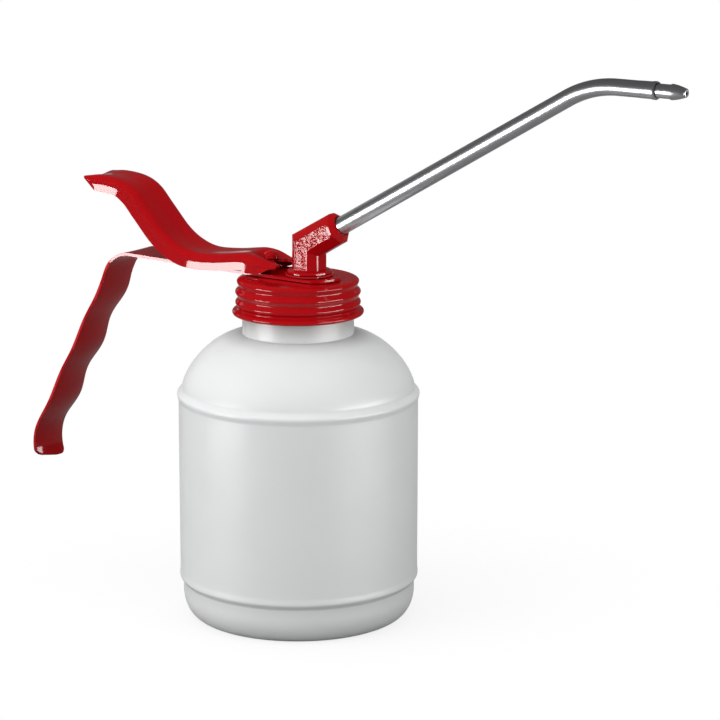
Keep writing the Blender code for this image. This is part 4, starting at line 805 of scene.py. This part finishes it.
def elbow_skin():
    """The casting's stem and arm, mitred where they meet."""
    corner, along, upward = arm_axes()
    depth, width, bevel = STEM_DEPTH / 2, STEM_WIDTH / 2, ARM_END_BEVEL
    stem = eight_sided(depth, width, STEM_CHAMFER)
    end = eight_sided(depth, width, ARM_END_CHAMFER)
    face = eight_sided(depth - bevel, width - bevel, ARM_END_CHAMFER / 2)
    rings = [[Vector((ELBOW_X + a, b, FLANGE_HEIGHTS[0] + STEM_SINK)) for a, b in stem]]
    rings.append([corner + along * mitre_travel(a) - upward * a + Vector((0.0, b, 0.0)) for a, b in stem])
    for section, travel in ((end, ARM_LENGTH - bevel), (face, ARM_LENGTH)):
        rings.append([corner + along * travel - upward * a + Vector((0.0, b, 0.0)) for a, b in section])
    skin = Skin()
    skin.loft(rings)
    return skin


def elbow_panel_skin(side):
    """The shallow panel sunk into a flat side of the casting, inside a plain raised border."""
    corner, along, upward = arm_axes()
    reach = STEM_DEPTH / 2 - STEM_CHAMFER - PANEL_BORDER
    far = ARM_LENGTH - ARM_END_BEVEL - 2 * PANEL_BORDER
    low = FLANGE_HEIGHTS[1] + PANEL_BORDER
    outline = [Vector((ELBOW_X - reach, 0.0, low)), Vector((ELBOW_X + reach, 0.0, low))]
    outline += [corner + along * mitre_travel(reach) - upward * reach, corner + along * far - upward * reach]
    outline += [corner + along * far + upward * reach, corner + along * mitre_travel(-reach) + upward * reach]
    skin = Skin()
    face = STEM_WIDTH / 2
    skin.loft([[point + Vector((0.0, side * y, 0.0)) for point in outline]
               for y in (face - PANEL_DEPTH, face + 1)])
    return skin


def elbow_foot_skin():
    """The elbow's round flange and the shank that goes down through the strip and the cap."""
    low, high = FLANGE_HEIGHTS
    turn = FLANGE_ROUND
    profile = [(0.0, SHANK_BOTTOM), (SHANK_RADIUS - SHANK_BEVEL, SHANK_BOTTOM)]
    profile += [(SHANK_RADIUS, SHANK_BOTTOM + SHANK_BEVEL), (SHANK_RADIUS, low), (FLANGE_RADIUS, low)]
    profile += arc((FLANGE_RADIUS - turn, high - turn), (turn, turn), 0, 90, 4)
    profile.append((0.0, high))
    return turned(profile, 64, Matrix.Translation((ELBOW_X, 0.0, 0.0)))


def socket_skin():
    """The bore in the arm's end that takes the tube."""
    tilt = Matrix.Rotation(math.pi / 2 - SPOUT_ANGLE, 4, "Y")
    place = Matrix.Translation((ELBOW_X, 0.0, ELBOW_CORNER_Z)) @ tilt
    return cylinder_skin(SPOUT_ROOT_RADIUS + SOCKET_PLAY, SOCKET_FLOOR, ARM_LENGTH + 2, place)


def spout_stations():
    """Centre, outer radius and inner radius along the spout tube."""
    corner, along, upward = arm_axes()
    length = SPOUT_TOP_RISE / math.sin(SPOUT_ANGLE) - SPOUT_BEND_RADIUS * math.tan(SPOUT_ANGLE / 2)
    stations = []
    for step in range(SPOUT_STRAIGHT_STEPS + 1):
        travel = SPOUT_START + (length - SPOUT_START) * step / SPOUT_STRAIGHT_STEPS
        share = max(travel - ARM_LENGTH, 0.0) / (length - ARM_LENGTH)
        radius = SPOUT_ROOT_RADIUS + (SPOUT_BEND_START_RADIUS - SPOUT_ROOT_RADIUS) * share
        stations.append((corner + along * travel, radius, radius - SPOUT_WALL))
    centre = corner + along * length - upward * SPOUT_BEND_RADIUS
    for step in range(1, SPOUT_BEND_STEPS + 1):
        share = step / SPOUT_BEND_STEPS
        angle = SPOUT_ANGLE * (1 - share)
        radius = SPOUT_BEND_START_RADIUS + (SPOUT_TIP_RADIUS - SPOUT_BEND_START_RADIUS) * share
        spoke = Vector((-math.sin(angle), 0.0, math.cos(angle)))
        stations.append((centre + spoke * SPOUT_BEND_RADIUS, radius, radius - SPOUT_WALL))
    level = stations[-1][0]
    for travel, wide, narrow in SPOUT_LEVEL_END:
        stations.append((level + Vector((travel, 0.0, 0.0)), wide, narrow))
    return stations


def spout_skin():
    """The spout tube, hollow from end to end, with the swaged ring at its mouth."""
    stations = spout_stations()
    outer, inner = [], []
    for (point, wide, narrow), direction in zip(stations, tangents([station[0] for station in stations])):
        up = Vector((-direction.z, 0.0, direction.x))
        for radius, rings in ((wide, outer), (narrow, inner)):
            points = []
            for side in range(ROUND_SIDES):
                angle = 2 * math.pi * side / ROUND_SIDES
                sideways = Vector((0.0, radius * math.sin(angle), 0.0))
                points.append(point + up * radius * math.cos(angle) + sideways)
            rings.append(points)
    skin = Skin()
    skin.loft(outer + inner[::-1], closed=True)
    return skin


def nozzle_skin():
    """The turned nozzle: a plain neck, a slightly larger tapered nose and a small land at its tip."""
    place = Matrix.Translation(spout_stations()[-1][0]) @ Matrix.Rotation(math.pi / 2, 4, "Y")
    return turned(NOZZLE_PROFILE, NOZZLE_SIDES, place)


# Lever and plunger

def lever_path():
    """Middle line of the lever's folds, from the fork's end back to the thumb rest."""
    points = []
    for run, rise in zip(LEVER_RUN_SHARES, LEVER_RISE_SHARES):
        points.append((LEVER_FRONT_X - LEVER_LENGTH * run, 0.0, LEVER_VALLEY_Z + LEVER_TIP_RISE * rise))
    return smooth_curve(points, LEVER_STEPS_BETWEEN)


def rod_pocket_top():
    """Height of the lever's plate under the plunger's head."""
    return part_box("plunger_rod")[1][2] / MM - HEAD_HEIGHT - HEAD_PLAY


def lever_section(point):
    """Half width, fold radius, flange depth, dish and splay of the lever at a point of its path."""
    nose = 1 - ease((LEVER_FRONT_X - point.x) / LEVER_NOSE_LENGTH)
    from_tip = (point.x - LEVER_FRONT_X + LEVER_LENGTH) / LEVER_TIP_LENGTH
    tip = ease(1 - from_tip)
    half, fold = LEVER_HALF_WIDTH, LEVER_FOLD_RADIUS
    half += (LEVER_NOSE_HALF_WIDTH - half) * nose + (LEVER_TIP_HALF_WIDTH - half) * tip
    fold += (LEVER_NOSE_FOLD_RADIUS - fold) * nose + (LEVER_TIP_FOLD_RADIUS - fold) * tip
    depth = LEVER_FLANGE_DEPTH
    if point.x > LEVER_NOSE_EDGE[0][0]:
        depth = point.z - between(LEVER_NOSE_EDGE, point.x)
    dish = LEVER_DISH + LEVER_TIP_DISH * ease(1 - from_tip / LEVER_TIP_DISH_SPREAD)
    pocket = ease((point.x - LEVER_POCKET_START_X) / LEVER_POCKET_LENGTH)
    dish += (max(point.z - rod_pocket_top(), 0.0) - dish) * pocket
    return half, fold, depth, dish, between(LEVER_SPLAY, point.x)


def lever_outline(half, fold, depth, dish, splay, inset):
    """Half of the lever's section, from the middle to the flange's edge, set in by an inset."""
    flat = half - fold
    points = []
    for share in LEVER_DISH_SHARES:
        sag = dish * (1 + math.cos(math.pi * share)) / 2
        points.append((flat * share, -sag - inset))
    points += arc((flat, -fold), (fold - inset, fold - inset), 90, 0, 8)
    for share in LEVER_FLANGE_SHARES:
        points.append((half - inset + splay * share, -fold - (depth - fold) * share))
    return points


def lever_skin():
    """The lever: a sheet channel, flanges down, dished along its middle."""
    path = lever_path()
    tip_x = LEVER_FRONT_X - LEVER_LENGTH
    skin = Skin()
    rings = []
    for point, direction in zip(path, tangents(path)):
        section = lever_section(point)
        up = Vector((direction.z, 0.0, -direction.x))
        lean = LEVER_TIP_LEAN * ease(1 - (point.x - tip_x) / LEVER_FLANGE_DEPTH)
        outer, inner = lever_outline(*section, 0.0), lever_outline(*section, LEVER_SHEET)
        outline = [(-y, n) for y, n in outer[:0:-1]] + outer + inner[:0:-1] + [(-y, n) for y, n in inner]
        rings.append(skin.ring([point + up * n + direction * lean * n + Vector((0.0, y, 0.0))
                                for y, n in outline]))
    for low, high in zip(rings, rings[1:]):
        skin.bridge(low, high)
    for ring in (rings[0], rings[-1]):
        half = len(ring) // 2
        outer, inner = ring[:half], ring[half:][::-1]
        for index in range(half - 1):
            skin.faces.append([outer[index], outer[index + 1], inner[index + 1], inner[index]])
    return skin


def fork_skin():
    """The space in the lever's forked front: a slot round the rod that opens wide towards the elbow."""
    back = ROD_X - SLOT_REACH + SLOT_HALF_WIDTH
    outline = arc((back, 0.0), (SLOT_HALF_WIDTH, SLOT_HALF_WIDTH), 90, 270, 12)
    outline += [(x, -half) for x, half in LEVER_FORK] + [(x, half) for x, half in LEVER_FORK[::-1]]
    skin = Skin()
    skin.loft([[(x, y, rod_pocket_top() + reach) for x, y in outline]
               for reach in (-SLOT_CUT_REACH, SLOT_CUT_REACH)])
    return skin


def fulcrum_skin():
    """The round bar welded between the lever's flanges, with a fillet of weld at each end."""
    half = LEVER_HALF_WIDTH - LEVER_SHEET - WELD_GAP
    place = Matrix.Translation((FULCRUM_X, 0.0, FULCRUM_Z)) @ Matrix.Rotation(math.pi / 2, 4, "X")
    end = [(FULCRUM_RADIUS + proud, inset - half) for proud, inset in WELD_FILLET]
    other = [(radius, -at) for radius, at in end[::-1]]
    return turned([(0.0, -half)] + end + other + [(0.0, half)], FULCRUM_SIDES, place)


def plunger_skin():
    """The plunger: a rod with a domed head."""
    under = rod_pocket_top() + HEAD_PLAY
    brim = under + HEAD_HEIGHT / 3
    profile = [(0.0, ROD_BOTTOM), (ROD_RADIUS - ROD_BEVEL, ROD_BOTTOM), (ROD_RADIUS, ROD_BOTTOM + ROD_BEVEL)]
    profile += [(ROD_RADIUS, under - HEAD_FILLET), (ROD_RADIUS + HEAD_FILLET, under)]
    profile += [(HEAD_RADIUS - HEAD_EDGE, under), (HEAD_RADIUS, under + HEAD_EDGE), (HEAD_RADIUS, brim)]
    profile += arc((0.0, brim), (HEAD_RADIUS, HEAD_HEIGHT * 2 / 3), 0, 90, 10)[1:-1]
    profile.append((0.0, under + HEAD_HEIGHT))
    return turned(profile, HEAD_SIDES, Matrix.Translation((ROD_X, 0.0, 0.0)))


# Stage, lights and camera

def lay_floor():
    """A round pale table top that keeps the can's shadow and fades to the white backdrop.

    What the table sends back up at the can is darker than what the camera sees of it.
    """
    finish, tree, where = new_finish("pale_table")
    seen = add(tree, "ShaderNodeLightPath").outputs
    paper = add(tree, "ShaderNodeTexNoise", {"Vector": where, "Scale": scale_of(60), "Detail": 3.0})
    pale = add(tree, "ShaderNodeMix", {
        "Factor": paper.outputs["Fac"], "A": colour("F2F2F2"), "B": colour("ECECEC")}, data_type="RGBA")
    tone = add(tree, "ShaderNodeMix", {
        "Factor": seen["Is Camera Ray"], "A": colour("787878"), "B": pale.outputs["Result"]},
        data_type="RGBA")
    flat = add(tree, "ShaderNodeMapping", {"Vector": where, "Scale": (1.0, 1.0, 0.0)})
    away = add(tree, "ShaderNodeVectorMath", {0: flat.outputs["Vector"]}, operation="LENGTH")
    fade = add(tree, "ShaderNodeMapRange", {
        "Value": away.outputs["Value"], "From Min": 0.05, "From Max": 0.2, "To Min": 0.8, "To Max": 1.0},
        interpolation_type="SMOOTHSTEP")
    direct = add(tree, "ShaderNodeMath", {
        0: seen["Is Glossy Ray"], 1: TABLE_GLOSS_SHARE, 2: seen["Is Camera Ray"]}, operation="MULTIPLY_ADD")
    direct = add(tree, "ShaderNodeMath", {
        0: direct.outputs[0], 1: seen["Is Transmission Ray"]}, operation="MAXIMUM")
    share = add(tree, "ShaderNodeMath", {
        0: fade.outputs["Result"], 1: direct.outputs[0]}, operation="MULTIPLY")
    matt = add(tree, "ShaderNodeBsdfDiffuse", {"Color": tone.outputs["Result"]})
    glow = add(tree, "ShaderNodeEmission", {"Color": (1.0, 1.0, 1.0, 1.0), "Strength": 1.0})
    both = add(tree, "ShaderNodeMixShader", {0: share.outputs[0], 1: matt.outputs[0], 2: glow.outputs[0]})
    add(tree, "ShaderNodeOutputMaterial", {"Surface": both.outputs[0]})
    skin = cylinder_skin(TABLE_RADIUS, TABLE_BOTTOM, TABLE_TOP, sides=96)
    table = bpy.data.objects.new("pale_table", mesh_of("pale_table", skin))
    table.data.materials.append(finish)
    bpy.context.collection.objects.link(table)


def light_world():
    """A white backdrop, low behind the can, and a plainer grey room that is brighter in front and above."""
    world = bpy.data.worlds.new("studio")
    bpy.context.scene.world = world
    world.use_nodes = True
    tree = world.node_tree
    tree.nodes.clear()
    way = add(tree, "ShaderNodeTexCoord").outputs["Generated"]
    behind = add(tree, "ShaderNodeVectorMath", {0: way, 1: BACKDROP_WAY}, operation="DOT_PRODUCT")
    backdrop = add(tree, "ShaderNodeMapRange", {
        "Value": behind.outputs["Value"], "From Min": 0.955, "From Max": 0.99, "To Min": 0.09, "To Max": 0.8})
    front = add(tree, "ShaderNodeVectorMath", {0: way, 1: ROOM_LIGHT_WAY}, operation="DOT_PRODUCT")
    room = add(tree, "ShaderNodeMapRange", {
        "Value": front.outputs["Value"], "From Min": -0.55, "From Max": 0.85, "To Min": 0.14, "To Max": 1.15})
    seen = add(tree, "ShaderNodeLightPath").outputs
    inside = add(tree, "ShaderNodeMix", {
        "Factor": seen["Is Glossy Ray"], "A": room.outputs["Result"], "B": backdrop.outputs["Result"]})
    direct = add(tree, "ShaderNodeMath", {
        0: seen["Is Camera Ray"], 1: seen["Is Transmission Ray"]}, operation="MAXIMUM")
    level = add(tree, "ShaderNodeMix", {"Factor": direct.outputs[0], "A": inside.outputs["Result"], "B": 1.0})
    white = add(tree, "ShaderNodeBackground", {
        "Color": (1.0, 1.0, 1.0, 1.0), "Strength": level.outputs["Result"]})
    add(tree, "ShaderNodeOutputWorld", {"Surface": white.outputs[0]})


def soft_box(name, turn, rise, size, watts, shows):
    """A rectangular soft light a metre from the can, which shows in gloss or on matt surfaces alone."""
    centre = Vector((math.cos(math.radians(turn)), math.sin(math.radians(turn)), rise))
    lamp = bpy.data.lights.new(name, "AREA")
    lamp.shape = "RECTANGLE"
    lamp.size, lamp.size_y = size
    lamp.energy = watts
    thing = bpy.data.objects.new(name, lamp)
    thing.visible_diffuse = shows == "matt"
    thing.visible_glossy = shows == "gloss"
    facing = (Vector(LAMP_AIM) - centre).to_track_quat("-Z", "Y")
    thing.matrix_world = Matrix.Translation(centre) @ facing.to_matrix().to_4x4()
    bpy.context.collection.objects.link(thing)


def swung(first, second, angle):
    """Two directions at right angles, with the first swung towards the second."""
    ahead = first * math.cos(angle) + second * math.sin(angle)
    return ahead, second * math.cos(angle) - first * math.sin(angle)


def set_camera():
    """The camera at the photograph's angle: 36 degrees round, 14 degrees up."""
    height = CAMERA_AIM_HEIGHT
    away, up = CAMERA_DISTANCE * math.cos(CAMERA_LIFT), CAMERA_DISTANCE * math.sin(CAMERA_LIFT)
    centre = Vector((0.0, -away, height + up))
    ahead = (Vector((0.0, 0.0, height)) - centre).normalized()
    right = Vector((1.0, 0.0, 0.0))
    above = right.cross(ahead)
    right, ahead = swung(right, ahead, CAMERA_PAN)
    ahead, above = swung(ahead, above, CAMERA_TILT)
    above, right = swung(above, right, CAMERA_ROLL)
    spin = Matrix.Rotation(CAMERA_TURN, 4, "Z")
    columns = [spin @ axis for axis in (right, above, -ahead, centre)]
    place = Matrix([[column[row] for column in columns] for row in range(3)] + [[0.0, 0.0, 0.0, 1.0]])
    lens = bpy.data.cameras.new("studio_camera")
    lens.sensor_width = SENSOR_WIDTH
    lens.lens = CAMERA_FOCUS_PIXELS / PICTURE_PIXELS * SENSOR_WIDTH
    lens.dof.use_dof = False
    camera = bpy.data.objects.new("studio_camera", lens)
    camera.matrix_world = place
    bpy.context.collection.objects.link(camera)
    bpy.context.scene.camera = camera


def build_pieces():
    """Makes every piece of the can that is shaped here, and gives the others their finish."""
    red = red_stove_lacquer()
    plate = satin_zinc_plate()
    shank_hole = SHANK_RADIUS + HOLE_GAP
    at_elbow = Matrix.Translation((ELBOW_X, 0.0, 0.0))
    at_rod = Matrix.Translation((ROD_X, 0.0, 0.0))
    holes = [cylinder_skin(shank_hole, *HOLE_HEIGHTS, at_elbow),
             cylinder_skin(ROD_RADIUS + HOLE_GAP, *HOLE_HEIGHTS, at_rod)]

    dressed("bottle_wall", bottle_skin(), blown_polyethylene(), "bottle", ["bottle"])
    dressed("rolled_screw_cap", cap_skin(), red, "head", ["screw_cap"], cuts=holes)
    dressed("grip_strip", strip_skin(), red, "head", ["handle"], cuts=holes, edge=0.3)
    low, high = WASHER_HEIGHTS
    ring = [(shank_hole, low), (WASHER_RADIUS, low), (WASHER_RADIUS, high - WASHER_BEVEL)]
    ring += [(WASHER_RADIUS - WASHER_BEVEL, high), (shank_hole, high)]
    dressed("clamping_washer", turned(ring, 64, at_elbow), red, "head", ["clamp_washer"])
    cuts = [socket_skin(), elbow_panel_skin(-1), elbow_panel_skin(1)]
    elbow = dressed("cast_elbow", elbow_skin(), red, "head", ["spout_elbow"],
                    adds=[elbow_foot_skin()], cuts=cuts, edge=0.18, sharp=22)
    elbow.data.materials.append(red_stove_lacquer("red_lacquer_on_rough_casting", PANEL_GRAIN, PANEL_RELIEF))
    floor = (STEM_WIDTH / 2 - PANEL_DEPTH) * MM
    for face in elbow.data.polygons:
        if abs(face.normal.y) > 0.99 and abs(abs(face.center.y) - floor) < 0.01 * MM:
            face.material_index = 1
    dressed("bent_spout", spout_skin(), plate, "head", ["spout_tube"])
    dressed("turned_nozzle", nozzle_skin(), plate, "head", ["spout_nozzle"], sharp=20)
    dressed("thumb_lever", lever_skin(), red, "lever", ["lever"], cuts=[fork_skin()],
            edge=0.22, sharp=40)
    dressed("welded_fulcrum_bar", fulcrum_skin(), plate, "lever", ["fulcrum_bar"])
    dressed("headed_plunger", plunger_skin(), red, "plunger", ["plunger_rod"])

    rest = {"satin_zinc_plate": plate, "zinc_casting": zinc_casting(), "brass": turned_brass(),
            "black_rubber": nitrile_rubber(), "clear_hose": clear_vinyl_hose()}
    for subpart in frame["record"]["subparts"]:
        if subpart["material_slot"] in rest:
            node = frame["nodes"][subpart["node"]]
            node.data.materials.clear()
            node.data.materials.append(rest[subpart["material_slot"]])


set_camera()
build_pieces()
lay_floor()
light_world()
for name, lamp in LAMPS.items():
    soft_box(name, *lamp)
bpy.context.scene.view_settings.view_transform = "Standard"
